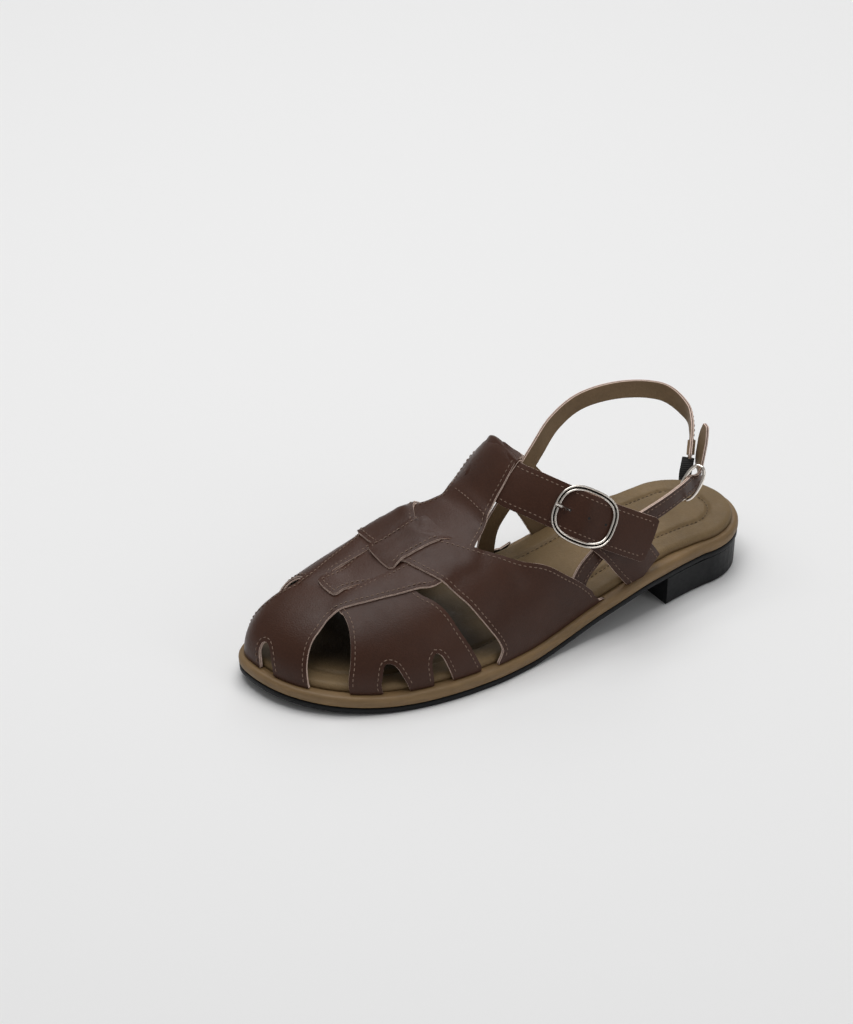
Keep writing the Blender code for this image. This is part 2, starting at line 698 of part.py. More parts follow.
def frames(rows, step):
    """Centres, width directions and outward directions about a step apart along a path."""
    rows = np.array(rows, float)
    steps = np.linalg.norm(np.diff(rows[:, :3], axis=0), axis=1)
    path = resample(rows, steps, step)
    centre, wide = path[:, :3], path[:, 3:6]
    wide = wide / np.linalg.norm(wide, axis=1, keepdims=True)
    run = np.gradient(centre, axis=0)
    run /= np.linalg.norm(run, axis=1, keepdims=True)
    out = np.cross(run, wide)
    slant = np.linalg.norm(out, axis=1, keepdims=True)
    out /= slant
    wide = wide / np.maximum(slant, 0.6)
    return centre, wide, out


def sweep(name, centre, wide, out, profile, collection, hole=None):
    """Closed bar of a profile of (width, outward) points, or a sleeve when it has a hole."""
    rings = [profile] if hole is None else [profile, hole]
    n, m = len(centre), len(profile)
    points = []
    for ring_rows in rings:
        for w, o in ring_rows:
            points += list(centre + wide * w + out * o)

    def at(r, j, i):
        return (r * m + j % m) * n + i

    faces = []
    for r in range(len(rings)):
        for j in range(m):
            for i in range(n - 1):
                quad = (at(r, j, i), at(r, j, i + 1), at(r, j + 1, i + 1), at(r, j + 1, i))
                faces.append(quad[::-1] if r else quad)
    for i, flip in ((0, False), (n - 1, True)):
        if hole is None:
            cap = tuple(at(0, j, i) for j in range(m))
            faces.append(cap[::-1] if flip else cap)
            continue
        for j in range(m):
            quad = (at(0, j, i), at(0, j + 1, i), at(1, j + 1, i), at(1, j, i))
            faces.append(quad[::-1] if flip else quad)
    obj = mesh_object(name, points, faces, collection)
    bm = bmesh.new()
    bm.from_mesh(obj.data)
    bmesh.ops.recalc_face_normals(bm, faces=bm.faces)
    bm.to_mesh(obj.data)
    bm.free()
    return obj


def make_loop(cutters):
    """Sleeve that the middle strap's folded end makes around the instep strap."""
    centre, wide, out = frames(strap_rows(), STRAP_STEP)
    keep = (centre[:, 0] > LOOP_FROM * BALL_WIDTH) & (centre[:, 0] < LOOP_TO * BALL_WIDTH)
    keep &= centre[:, 1] < y_at(STRAP_CROWN[0][1] - LOOP_BACK)
    inner_w, inner_t = STRAP_WIDTH / 2 + 2 * GAP, STRAP_THICK / 2 + GAP
    outer_w, outer_t = inner_w + LOOP_WALL, inner_t + LOOP_WALL
    outer = [
        (-outer_w, -0.6 * outer_t), (-inner_w, -outer_t), (inner_w, -outer_t), (outer_w, -0.5 * outer_t),
        (outer_w, 0.5 * outer_t), (inner_w, outer_t), (-inner_w, outer_t), (-outer_w, 0.6 * outer_t),
    ]
    inner = [
        (-inner_w, -0.5 * inner_t), (-0.94 * inner_w, -inner_t), (0.94 * inner_w, -inner_t),
        (inner_w, -0.5 * inner_t), (inner_w, 0.5 * inner_t), (0.94 * inner_w, inner_t),
        (-0.94 * inner_w, inner_t), (-inner_w, 0.5 * inner_t),
    ]
    return sweep("loop", centre[keep], wide[keep], out[keep], outer, cutters, inner)


def flat_profile(width, thickness):
    """Strap section with its edges just rounded."""
    w, t = width / 2, thickness / 2
    low = [(-w, -0.5 * t), (-w + 0.5 * t, -t), (w - 0.5 * t, -t), (w, -0.5 * t)]
    return low + [(-a, -b) for a, b in low]


def strap(name, rows, width, thickness, collection, made, step=STRAP_STEP):
    centre, wide, out = frames(rows, step)
    return finish(sweep(name, centre, wide, out, flat_profile(width, thickness), collection), made)


def wire(name, points, thickness, collection, made, closed=False, resolution=3):
    curve = bpy.data.curves.new(name, "CURVE")
    curve.dimensions = "3D"
    curve.bevel_depth = thickness / 2
    curve.bevel_resolution = resolution
    curve.use_fill_caps = True
    line = curve.splines.new("POLY")
    line.points.add(len(points) - 1)
    for point, place in zip(line.points, points):
        point.co = (*place, 1.0)
    line.use_cyclic_u = closed
    line.use_smooth = True
    obj = bpy.data.objects.new(name, curve)
    collection.objects.link(obj)
    curve.materials.append(made)
    return obj


def round_frame(length, width, power, count):
    """Rounded rectangle, length along the strap and width across it."""
    turn = np.linspace(0, 2 * math.pi, count, endpoint=False)
    rows = np.stack([np.cos(turn), np.sin(turn)], -1)
    return np.array([length, width]) / 2 * np.sign(rows) * np.abs(rows) ** (2 / power)


def make_instep_buckle(parts, metal):
    """Frame around the strap with its two end rails over it, the middle bar under it, and the pin."""
    centre, wide, out = frames(strap_rows(), WIRE_STEP)
    at = int(np.argmin(np.linalg.norm(centre - point_at(BUCKLE_AT), axis=1)))
    length, width = BUCKLE_LENGTH - BUCKLE_WIRE, BUCKLE_WIDTH - BUCKLE_WIRE
    over = STRAP_THICK / 2 + GAP + BUCKLE_WIRE / 2
    points = []
    for u, v in round_frame(length, width, 3.2, 40):
        i = int(np.clip(round(at + u / WIRE_STEP), 0, len(centre) - 1))
        rise = over * min(1.0, 1.25 * (2 * u / length) ** 2 + 0.15)
        points.append(centre[i] + wide[i] * v + out[i] * rise)
    wire("instep_buckle_frame", points, BUCKLE_WIRE, parts, metal, closed=True)
    reach = BUCKLE_WIDTH / 2 - BUCKLE_WIRE - GAP
    below = STRAP_THICK / 2 + 1.5 * GAP + BAR_WIRE / 2
    bar = [centre[at] + wide[at] * w - out[at] * below for w in np.linspace(-reach, reach, 5)]
    wire("instep_buckle_bar", bar, BAR_WIRE, parts, metal)
    lift = STRAP_THICK / 2 + GAP + PIN_WIRE / 2
    tip = at - int(round((BUCKLE_LENGTH / 2 - 1.2 * BUCKLE_WIRE) / WIRE_STEP))
    hole = at - int(round(PIN_HOLE / WIRE_STEP))
    pin = [centre[i] + out[i] * lift for i in np.linspace(hole, tip, 4).astype(int)]
    wire("instep_buckle_pin", pin, PIN_WIRE, parts, metal, resolution=2)


def make_ring(parts, metal):
    """Oval ring that the outer sling strap runs through, and the short prong on it."""
    up = np.array(RING_UP)
    side = np.array((1.0, 0.0, 0.0))
    place = round_frame(RING_LENGTH - RING_WIRE, RING_WIDTH - RING_WIRE, 2.3, 36)
    middle = point_at(RING_AT)
    wire("sling_ring", [middle + up * u + side * v for u, v in place], RING_WIRE, parts, metal, closed=True)
    out = np.cross(side, up)
    base = middle - up * (RING_LENGTH / 2 - RING_WIRE / 2) + out * (RING_WIRE * 0.8 + GAP)
    stations = ((-0.4, 0.2), (0.1, 0.5), (0.6, 0.9))
    prong = [base + up * t * RING_WIRE + side * s * RING_WIRE for t, s in stations]
    wire("sling_ring_prong", prong, PRONG_WIRE, parts, metal, resolution=2)


def make_straps(parts, leather, elastic):
    strap("instep_strap", strap_rows(), STRAP_WIDTH, STRAP_THICK, parts, leather)
    rows = foot(BUCKLE_STRAP_FOOT, BUCKLE_STRAP, STRAP_INSET)
    strap("buckle_strap", rows, STRAP_WIDTH, STRAP_THICK, parts, leather)
    rows = foot(SLING_INNER_FOOT, SLING_INNER, SLING_INSET)
    strap("sling_strap_inner", rows, SLING_WIDTH, SLING_THICK, parts, leather)
    rows = foot(SLING_OUTER_FOOT, SLING_OUTER, SLING_INSET, -1)
    strap("sling_strap_outer", rows, SLING_WIDTH, SLING_THICK, parts, leather)
    strap("sling_elastic", placed(ELASTIC), ELASTIC_WIDTH, SLING_THICK, parts, elastic, EDGE_STEP)


def main():
    for obj in list(bpy.data.objects):
        bpy.data.objects.remove(obj)
    parts = bpy.data.collections.new("fisherman_sandal")
    cutters = bpy.data.collections.new("cutters")
    bpy.context.scene.collection.children.link(parts)
    bpy.context.scene.collection.children.link(cutters)
    leather = material("brown_leather", (0.085, 0.046, 0.036), 0.5)
    lining = material("tan_lining", (0.22, 0.15, 0.085), 0.6)
    tan = material("tan_band", (0.20, 0.13, 0.065), 0.55)
    rubber = material("black_rubber", (0.012, 0.013, 0.015), 0.55)
    metal = material("silver_metal", (0.75, 0.72, 0.68), 0.18, 1.0)
    elastic = material("black_elastic", (0.012, 0.011, 0.010), 0.75)
    make_sole(parts, rubber, tan, lining)
    make_heel(parts, rubber, cutters)
    make_upper(parts, cutters, leather)
    make_straps(parts, leather, elastic)
    make_instep_buckle(parts, metal)
    make_ring(parts, metal)


main()
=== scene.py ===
"""Dressed fisherman sandal, the left shoe: woven leather straps, stitches, buckles, padded insole.

Metres in the frame of the CAD model. The toe points to -Y, the outer side is +X, +Z is up.
"""
import math

import bpy
import numpy as np
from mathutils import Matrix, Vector
from mathutils.geometry import delaunay_2d_cdt


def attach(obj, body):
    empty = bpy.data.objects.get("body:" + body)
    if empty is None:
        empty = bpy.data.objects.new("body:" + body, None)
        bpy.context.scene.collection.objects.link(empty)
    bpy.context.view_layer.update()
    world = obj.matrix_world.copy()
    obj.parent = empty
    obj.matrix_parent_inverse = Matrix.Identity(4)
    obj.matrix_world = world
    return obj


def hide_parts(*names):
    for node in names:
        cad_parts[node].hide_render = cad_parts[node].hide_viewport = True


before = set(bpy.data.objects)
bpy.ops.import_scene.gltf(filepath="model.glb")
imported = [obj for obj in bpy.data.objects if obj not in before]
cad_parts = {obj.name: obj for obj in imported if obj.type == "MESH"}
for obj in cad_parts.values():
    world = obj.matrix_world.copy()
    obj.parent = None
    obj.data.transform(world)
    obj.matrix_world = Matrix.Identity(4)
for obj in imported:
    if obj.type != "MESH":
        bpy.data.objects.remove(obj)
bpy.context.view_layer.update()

bl_info = {
    "name": "Fisherman sandal",
    "version": (1, 0, 0),
    "blender": (4, 5, 0),
    "location": "3D View > Sidebar > Sandal",
    "description": "Builds the leather, sole and buckles of a fisherman sandal around its frame",
    "category": "Add Mesh",
}

SOLE_LENGTH = 0.249
BALL_WIDTH = 0.0913
HEEL_WIDTH = 0.0586
HEEL_REST = 0.027
HEEL_BLOCK = 0.0142
OUTSOLE_THICK = 0.0027
BAND_THICK = 0.0052
INSOLE_THICK = 0.0030
TOE_SPRING = 0.0045
TOE_ROUND = 0.329
TOE_POWER = 2.2
INSTEP_HEIGHT = 0.0865
EDGE_INSET = 0.0026
FOOT_CLEAR = 0.0006
STRAP_WIDTH = 0.0205
STRAP_THICK = 0.0018
SLING_WIDTH = 0.0082
SLING_THICK = 0.0015
LOOP_WALL = 0.0008
LOOP_SHEET = 0.0014
STRAP_SWELL = 0.0014
BUCKLE_LENGTH = 0.0285
BUCKLE_WIDTH = 0.0254
BUCKLE_WIRE = 0.0024
PIN_HOLE = 0.0070
RING_LENGTH = 0.0185
RING_WIDTH = 0.0096
ELASTIC_WIDTH = 0.0056
GAP = 0.0003
OUTLINE_STEP = 0.0013
FILL_STEP = 0.0021
RAMP = 0.0055  # distance over which a strap climbs onto another
STRAP_STEP = 0.0012  # distance between the rows of a strap along its path
ELASTIC_STEP = 0.0008
BUCKLE_STEP = 0.0005
SQUARED = 0.9  # share by which a strap's width is turned square to its path
CROWN_SPAN = 0.004  # half the span over which the strap's width follows the last
SWELL_REACH = 0.0065  # reach of the strap's swell in the buckle
STITCH_SPAN = 0.0006  # half the span that gives a stitch its direction
THREAD_END, THREAD_RISE, THREAD_SINK = 0.35, 0.62, 0.34  # shares of the thread's width
STRAP_STITCH, SLING_STITCH = 0.0021, 0.0014
STRAP_STITCH_LIFT, SLING_STITCH_LIFT = 0.00015, 0.0001
BAR_END, BAR_DEPTH, BAR_RADIUS = 0.0030, 0.0013, 0.0009
PIN_RISE, PIN_RADIUS, PIN_SPREAD = 0.0030, 0.00095, 0.00015
RING_WIRE, RING_SHIFT, PRONG_RADIUS = 0.0016, 0.0032, 0.00048
SPINE_END = 0.004  # distance from the toe's middle to the end of the sole's middle line
PAD_CROWN, PAD_REACH, PAD_ROUND = 0.0009, 0.010, 0.0026
GROOVE_AT = 0.0085  # distance of the insole's sewn groove from the pad's edge
GROOVE_DEPTH, GATHER_DEPTH, GATHER_PITCH = 0.0011, 0.0003, 0.0042
# Where the insole gets painted shade under the upper: inset and blend from its edge, then the share along the
# sole where it starts and its length.
SHADE_INSET, SHADE_BLEND = 0.006, 0.012
SHADE_FROM, SHADE_LENGTH = 0.55, 0.10
SEAT_FROM, SEAT_TO = 0.20, 0.12
SPRING_FROM, ARCH_FROM, ARCH_TO = 0.771, 0.558, 0.245
TINY = 1e-9
FLOOR_HALF = 6.0
WORLD_LIGHT = 0.29
LIGHTS = [
    # name, place, size, power
    ("key_light", (-0.25, -0.10, 1.6), (1.5, 1.5), 21.0),
    ("back_light", (-1.2, 0.9, 1.1), (0.8, 0.8), 3.5),
    ("side_light", (1.5, 0.5, 0.9), (0.5, 1.0), 2.5),
]
LIGHTS_AT = (0.0, -0.09, 0.03)
CAMERA_FROM, CAMERA_AT, CAMERA_LENS = (2.099, -1.472, 1.562), (-0.0696, -0.0901, 0.0171), 232.0
# Rows of the tan band's edge: inset and height.
BAND_ROWS = [
    (0.0007, 0), (0.0001, 0.0003), (-0.0003, 0.0012), (-0.0004, 0.0024), (-0.0003, 0.0036), (0.0001, 0.0045),
    (0.0007, BAND_THICK - 0.0002), (0.0014, BAND_THICK),
]

HEEL_BACK_Y = HEEL_REST
TOE_TIP_Y = HEEL_REST - SOLE_LENGTH
TOE_CENTRE_Y = TOE_TIP_Y + TOE_ROUND * SOLE_LENGTH

# Half widths of the sole: share of the length from the heel's back, then shares of the heel width
# and of the ball width for the outer and the inner side.
SOLE_SIDES = [
    # along, outer_heel, outer_ball, inner_heel, inner_ball
    (0.128, 0.500, 0.000, 0.500, 0.000),
    (0.189, 0.550, 0.000, 0.508, 0.000),
    (0.249, 0.500, 0.071, 0.488, 0.000),
    (0.317, 0.300, 0.232, 0.300, 0.110),
    (0.398, 0.150, 0.342, 0.150, 0.217),
    (0.478, 0.050, 0.432, 0.050, 0.330),
    (0.550, 0.000, 0.499, 0.000, 0.416),
    (0.610, 0.000, 0.526, 0.000, 0.451),
    (0.671, 0.000, 0.5345, 0.000, 0.4655),
]
# Top line of the last: height as share of the instep height, and where it lies across the ball.
RIDGE = [
    # along, height, across
    (0.349, 1.202, 0.00),
    (0.430, 1.000, -0.05),
    (0.478, 0.884, -0.08),
    (0.530, 0.723, -0.10),
    (0.590, 0.676, -0.11),
    (0.671, 0.624, -0.12),
    (0.751, 0.566, -0.12),
    (0.831, 0.538, -0.12),
    (0.912, 0.537, -0.12),
    (1.000, 0.532, -0.12),
]
# How far the last swells past the sole's edge at mid height, as shares of the ball width.
SWELL = [
    # along, outer, inner
    (0.349, 0.011, 0.088),
    (0.450, 0.011, 0.088),
    (0.510, 0.011, 0.049),
    (0.590, 0.006, 0.006),
    (0.671, 0.000, 0.000),
    (1.000, 0.000, 0.000),
]
CROWN_POWER = {1: 2.1, -1: 3.3}
WALL_POWER = 2.25
NECK_POWER = 2.1
NECK_FROM, NECK_TO = 0.500, 0.600
# Middle line of the straps' pattern across the ball.
PATTERN_MIDDLE = [
    # along, across
    (0.349, -0.131),
    (0.454, -0.137),
    (0.530, -0.093),
    (0.590, -0.060),
    (0.671, -0.060),
    (0.831, -0.060),
    (1.000, -0.060),
]


COLOUR = {"size": 3, "subtype": "COLOR", "min": 0, "max": 1}


class SandalSizes(bpy.types.PropertyGroup):
    """Sizes of the leather work."""

    wall: bpy.props.FloatProperty(
        name="Leather", description="Thickness of a strap's two layers", default=0.0018, unit="LENGTH"
    )
    stitch_pitch: bpy.props.FloatProperty(
        name="Stitch pitch", description="Distance from one stitch to the next", default=0.0024, unit="LENGTH"
    )
    stitch_length: bpy.props.FloatProperty(
        name="Stitch length", description="Length of a stitch that shows", default=0.00165, unit="LENGTH"
    )
    stitch_width: bpy.props.FloatProperty(
        name="Thread", description="Thickness of the thread", default=0.00046, unit="LENGTH"
    )
    stitch_inset: bpy.props.FloatProperty(
        name="Stitch inset", description="Distance of stitches from the edge", default=0.0017, unit="LENGTH"
    )
    crossing: bpy.props.FloatProperty(
        name="Crossing", description="How far a strap rises on another", default=0.0014, unit="LENGTH"
    )


class SandalColours(bpy.types.PropertyGroup):
    """Colours of the materials, as linear values."""

    leather: bpy.props.FloatVectorProperty(
        name="Leather", description="Brown leather", default=(0.046, 0.0178, 0.0098), **COLOUR
    )
    raw_edge: bpy.props.FloatVectorProperty(
        name="Raw edge", description="Cut edge of the leather", default=(0.66, 0.50, 0.42), **COLOUR
    )
    lining: bpy.props.FloatVectorProperty(
        name="Lining", description="Flesh side and lining", default=(0.23, 0.155, 0.088), **COLOUR
    )
    # Underside: the flesh side darkened to painted shade, for the shaded inside of the toe under the straps.
    under: bpy.props.FloatVectorProperty(
        name="Underside", description="Dark flesh side in the toe", default=(0.030, 0.022, 0.012), **COLOUR
    )
    thread: bpy.props.FloatVectorProperty(
        name="Thread", description="Stitching thread", default=(0.22, 0.145, 0.105), **COLOUR
    )
    band: bpy.props.FloatVectorProperty(
        name="Band", description="Tan edge of the sole", default=(0.200, 0.122, 0.050), **COLOUR
    )
    insole: bpy.props.FloatVectorProperty(
        name="Insole", description="Padded insole", default=(0.185, 0.124, 0.060), **COLOUR
    )
    rubber: bpy.props.FloatVectorProperty(
        name="Rubber", description="Outsole and heel", default=(0.006, 0.0065, 0.0075), **COLOUR
    )
    metal: bpy.props.FloatVectorProperty(
        name="Metal", description="Buckles", default=(0.86, 0.80, 0.73), **COLOUR
    )
    floor: bpy.props.FloatVectorProperty(
        name="Floor", description="Studio floor", default=(0.83, 0.83, 0.83), **COLOUR
    )


def sizes():
    return bpy.context.scene.sandal_sizes


def colours():
    return bpy.context.scene.sandal_colours


def cubic(a, b, start, end, t):
    """Cubic from a to b with the slopes s and e at its ends.

    a + t s + t^2 (3 (b - a) - 2 s - e) + t^3 (s + e - 2 (b - a)).
    """
    return a + t * start + t**2 * (3 * (b - a) - 2 * start - end) + t**3 * (start + end - 2 * (b - a))


def column(rows, x, pick):
    """Cubic curve through one column of a table against its first, with the slopes of its neighbours."""
    data = np.array(sorted(rows), float)
    xs, ys = data[:, 0], data[:, pick]
    slope = np.gradient(ys, xs)
    x = np.clip(np.asarray(x, float), xs[0], xs[-1])
    i = np.clip(np.searchsorted(xs, x) - 1, 0, len(xs) - 2)
    h = xs[i + 1] - xs[i]
    return cubic(ys[i], ys[i + 1], h * slope[i], h * slope[i + 1], (x - xs[i]) / h)


def smooth(t):
    """3 t^2 - 2 t^3 of t kept from 0 to 1."""
    t = np.clip(t, 0, 1)
    return t * t * (3 - 2 * t)


def unit(v):
    return v / (np.linalg.norm(v, axis=-1, keepdims=True) + 1e-12)


def along(y):
    return (HEEL_BACK_Y - np.asarray(y, float)) / SOLE_LENGTH


def y_at(share):
    return HEEL_BACK_Y - SOLE_LENGTH * np.asarray(share, float)


def half_width(y, side):
    heel, ball = (1, 2) if side > 0 else (3, 4)
    return HEEL_WIDTH * column(SOLE_SIDES, along(y), heel) + BALL_WIDTH * column(SOLE_SIDES, along(y), ball)


def ridge_x(y):
    return BALL_WIDTH * column(RIDGE, along(y), 2)


def under(y):
    """Height of the outsole's underside: toe spring, flat ball, arch, heel seat."""
    y = np.asarray(y, float)
    spring_from = y_at(SPRING_FROM)
    toe = np.clip((spring_from - y) / (spring_from - TOE_TIP_Y), 0, 1) ** 2
    arch = smooth((y - y_at(ARCH_FROM)) / (y_at(ARCH_TO) - y_at(ARCH_FROM)))
    return TOE_SPRING * toe + (HEEL_BLOCK + GAP) * arch


def band_top(y):
    return under(y) + OUTSOLE_THICK + GAP + BAND_THICK


def toe_radius(dx, dy, inset):
    """Distance from the toe's middle to the sole's edge in a direction: a superellipse."""
    r = np.hypot(dx, dy) + TINY
    outer = half_width(TOE_CENTRE_Y, 1) - ridge_x(TOE_CENTRE_Y)
    inner = half_width(TOE_CENTRE_Y, -1) + ridge_x(TOE_CENTRE_Y)
    deep = TOE_CENTRE_Y - TOE_TIP_Y
    across = np.abs(dx) / r / (np.where(dx >= 0, outer, inner) - inset)
    forward = np.abs(dy) / r / (deep - inset)
    return (across**TOE_POWER + forward**TOE_POWER) ** (-1 / TOE_POWER)


def plan_parts(p, q):
    """Where plan points lie: before the toe's middle or not, the middle line, side, half width, offsets."""
    front = q < TOE_CENTRE_Y
    middle = np.where(front, ridge_x(TOE_CENTRE_Y), ridge_x(q))
    side = np.where(p >= middle, 1, -1)
    half = np.where(side > 0, half_width(q, 1) - middle, half_width(q, -1) + middle) - EDGE_INSET
    return front, middle, side, half, p - middle, TOE_CENTRE_Y - q


def edge_share(p, q):
    """Share of the way from the last's top line to the sole's edge, over 1 outside it."""
    p, q = np.asarray(p, float), np.asarray(q, float)
    front, _, _, half, dx, dy = plan_parts(p, q)
    return np.where(front, (np.hypot(dx, dy) + TINY) / toe_radius(dx, dy, EDGE_INSET), np.abs(dx) / half)


def to_edge(plan):
    """Plan points outside the sole's edge, pulled straight back onto it."""
    p, q = plan[..., 0], plan[..., 1]
    front, middle, *_ = plan_parts(p, q)
    centre = np.stack([middle, np.where(front, TOE_CENTRE_Y, q)], -1)
    return centre + (plan - centre) / np.maximum(edge_share(p, q), 1.0)[..., None]


def last(p, q):
    """Point on the last for a plan point.

    The share s of the way to the edge becomes sin(s) across and (1 - sin(s)^crown)^(1/wall) up,
    with a swell of sin(pi s) past the edge. In front of the toe's middle the sections fan out.
    """
    p, q = np.asarray(p, float), np.asarray(q, float)
    front, middle, side, half, dx, dy = plan_parts(p, q)
    far = np.hypot(dx, dy) + TINY
    radius = toe_radius(dx, dy, EDGE_INSET)
    share = np.clip(edge_share(p, q), 0, 1)
    s = np.sin(share * math.pi / 2)
    swell = BALL_WIDTH * np.where(side > 0, column(SWELL, along(q), 1), column(SWELL, along(q), 2))
    behind = middle + side * (half * s + swell * np.sin(share * math.pi))
    x = np.where(front, middle + dx / far * radius * s, behind)
    y = np.where(front, TOE_CENTRE_Y - dy / far * radius * s, q)
    turn = np.where(front, dx / far, side)
    neck = smooth((NECK_TO - along(q)) / (NECK_TO - NECK_FROM))
    inner_power = CROWN_POWER[-1] + (NECK_POWER - CROWN_POWER[-1]) * neck
    power = (CROWN_POWER[1] * (1 + turn) + inner_power * (1 - turn)) / 2
    up = np.clip(1 - s**power, 0, 1) ** (1 / WALL_POWER)
    foot = band_top(y) + FOOT_CLEAR
    z = foot + (INSTEP_HEIGHT * column(RIDGE, along(y), 1) - foot) * up
    return np.stack([x, y, z], -1)


def last_normal(p, q, step=0.00012):
    """Outward normal of the last: the cross product of its slopes across and along the plan."""
    return unit(np.cross(last(p + step, q) - last(p - step, q), last(p, q + step) - last(p, q - step)))


def pattern_parts(rows):
    """Pattern rows as shares along and across, with the pattern's middle line and its half widths."""
    share, across = np.asarray(rows, float).T
    middle = BALL_WIDTH * column(PATTERN_MIDDLE, share, 1)
    at = np.maximum(y_at(share), TOE_CENTRE_Y)
    outer, inner = (half_width(at, side) - EDGE_INSET - side * middle for side in (1, -1))
    return share, across, middle, outer, inner


def pattern_point(rows):
    """Plan points of pattern rows: share along the sole, and share of the half width across it."""
    share, across, middle, outer, inner = pattern_parts(rows)
    return np.stack([middle + across * np.where(across >= 0, outer, inner), y_at(share)], -1)


def mirrored(rows, skew=0.0):
    """Pattern rows on the inner side: u becomes k u / (1 + (k - 1) u), k the ratio of the half widths."""
    share, u, _, outer, inner = pattern_parts(rows)
    ratio = outer / inner
    moved = share + skew * np.minimum(1.0, 3 * np.abs(u))
    return list(zip(moved, -u * ratio / (1 + (ratio - 1) * np.abs(u))))


def both_sides(rows, skew=0.0):
    """Closed outline from its outer half: that half, then the inner one back again."""
    return list(rows) + mirrored(rows, skew)[::-1]


def run_of(points):
    """Length along a line up to each of its points."""
    return np.concatenate([[0], np.cumsum(np.linalg.norm(np.diff(points, axis=0), axis=1))])


def sampled(rows, run, at):
    """Rows of a line at given lengths along it, straight between the rows that it has."""
    return np.stack([np.interp(at, run, rows[:, k]) for k in range(rows.shape[1])], -1)


def curve(points, count):
    """Points evenly along a smooth curve (Catmull-Rom) through the given ones."""
    pts = np.asarray(points, float)
    before = np.concatenate([2 * pts[:1] - pts[1:2], pts[:-1]])
    after = np.concatenate([pts[1:], 2 * pts[-1:] - pts[-2:-1]])
    slope = (after - before) / 2
    t = np.linspace(0, 1, 24, endpoint=False)[None, :, None]
    line = cubic(pts[:-1, None], pts[1:, None], slope[:-1, None], slope[1:, None], t)
    line = np.concatenate([line.reshape(-1, pts.shape[1]), pts[-1:]])
    run = run_of(line)
    return sampled(line, run, np.linspace(0, run[-1], count))


def around(line):
    """Direction of a closed line at each of its points."""
    return unit(np.roll(line, -1, axis=0) - np.roll(line, 1, axis=0))


def bands(a, b):
    """Four-sided faces between the rings of point numbers a and b, each closed round."""
    return np.stack([a, b, np.roll(b, -1, axis=-1), np.roll(a, -1, axis=-1)], -1).reshape(-1, 4)


def sheet(rows, columns):
    """Four-sided faces of an open grid of points."""
    index = np.arange(rows * columns).reshape(rows, columns)
    return np.stack([index[:-1, :-1], index[1:, :-1], index[1:, 1:], index[:-1, 1:]], -1).reshape(-1, 4)


def carried(centre, wide, out, section):
    """Grid of a section of (width, outward) points carried along a path."""
    w, o = np.moveaxis(np.asarray(section, float), -1, 0)
    return centre[:, None] + wide[:, None] * w[..., None] + out[:, None] * o[..., None]


def crossed(points, polygon):
    """Which plan points lie inside a polygon, by the crossings to their right."""
    x, y = points[:, 0, None], points[:, 1, None]
    x0, y0 = polygon[:, 0], polygon[:, 1]
    x1, y1 = np.roll(x0, -1), np.roll(y0, -1)
    hit = (y0 > y) != (y1 > y)
    with np.errstate(divide="ignore", invalid="ignore"):
        at = x0 + (y - y0) * (x1 - x0) / (y1 - y0)
    return (hit & (x < at)).sum(axis=1) % 2 == 1


def distance_to(points, polygon, sides=True):
    """Distance of plan points to a closed polygon's sides, or only to its corners."""
    out = np.full(len(points), 1e9)
    a, b = polygon, np.roll(polygon, -1, axis=0)
    d = (b - a) if sides else np.zeros_like(a)
    size = (d * d).sum(1) + 1e-18
    for start in range(0, len(points), 2000):
        p = points[start : start + 2000, None]
        t = np.clip(((p - a) * d).sum(-1) / size, 0, 1)[..., None]
        out[start : start + 2000] = np.linalg.norm(p - a - t * d, axis=-1).min(axis=1)
    return out


def cover(points, polygon, reach):
    """1 over a strap's outline, falling smoothly to 0 at a distance outside it."""
    far = distance_to(points, polygon)
    return np.where(crossed(points, polygon), 1.0, smooth(1 - far / reach))


def border(quads, tris):
    """Loops of the directed edges that only one face has."""
    edges = np.concatenate([np.stack([f, np.roll(f, -1, axis=1)], -1).reshape(-1, 2) for f in (quads, tris)])
    most = int(edges.max()) + 1
    edges = edges[~np.isin(edges[:, 0] * most + edges[:, 1], edges[:, 1] * most + edges[:, 0])]
    after = {}
    for a, b in edges.tolist():
        after.setdefault(a, []).append(b)
    loops = []
    while after:
        first = here = next(iter(after))
        loop = []
        while here in after:
            loop.append(here)
            ahead = after[here].pop()
            if not after[here]:
                del after[here]
            here = ahead
            if here == first:
                break
        if len(loop) > 2:
            loops.append(np.array(loop))
    return loops


def make_mesh(name, points, faces, slots=None, materials=()):
    """Object at the origin from points and a list of face arrays, with a material number for each face."""
    mesh = bpy.data.meshes.new(name)
    rows = [row for part in faces for row in np.asarray(part).tolist()]
    mesh.from_pydata(np.asarray(points).tolist(), [], rows)
    for made in materials:
        mesh.materials.append(made)
    if slots is not None:
        every = np.concatenate([np.asarray(s, np.int32).ravel() for s in slots])
        mesh.polygons.foreach_set("material_index", every)
    mesh.shade_smooth()
    mesh.update()
    obj = bpy.data.objects.new(name, mesh)
    bpy.context.scene.collection.objects.link(obj)
    return obj


def keep(obj, slot_name, *nodes):
    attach(obj, "root")
    if nodes:
        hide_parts(*nodes)
    return obj


# Section of a strap's cut edge: share outward of the wall, share of its depth, and the material of
# the strip that ends there: 0 leather, 1 raw edge, 2 lining.
EDGE_ROWS = [
    (0.05, 0.01, 0), (0.08, 0.05, 0), (0.10, 0.12, 1), (0.10, 0.38, 1), (0.01, 0.44, 0), (-0.03, 0.50, 0),
    (0.01, 0.56, 0), (0.10, 0.62, 1), (0.10, 0.84, 1), (0.07, 0.95, 1), (0.03, 0.98, 2), (0.00, 1.00, 2),
]


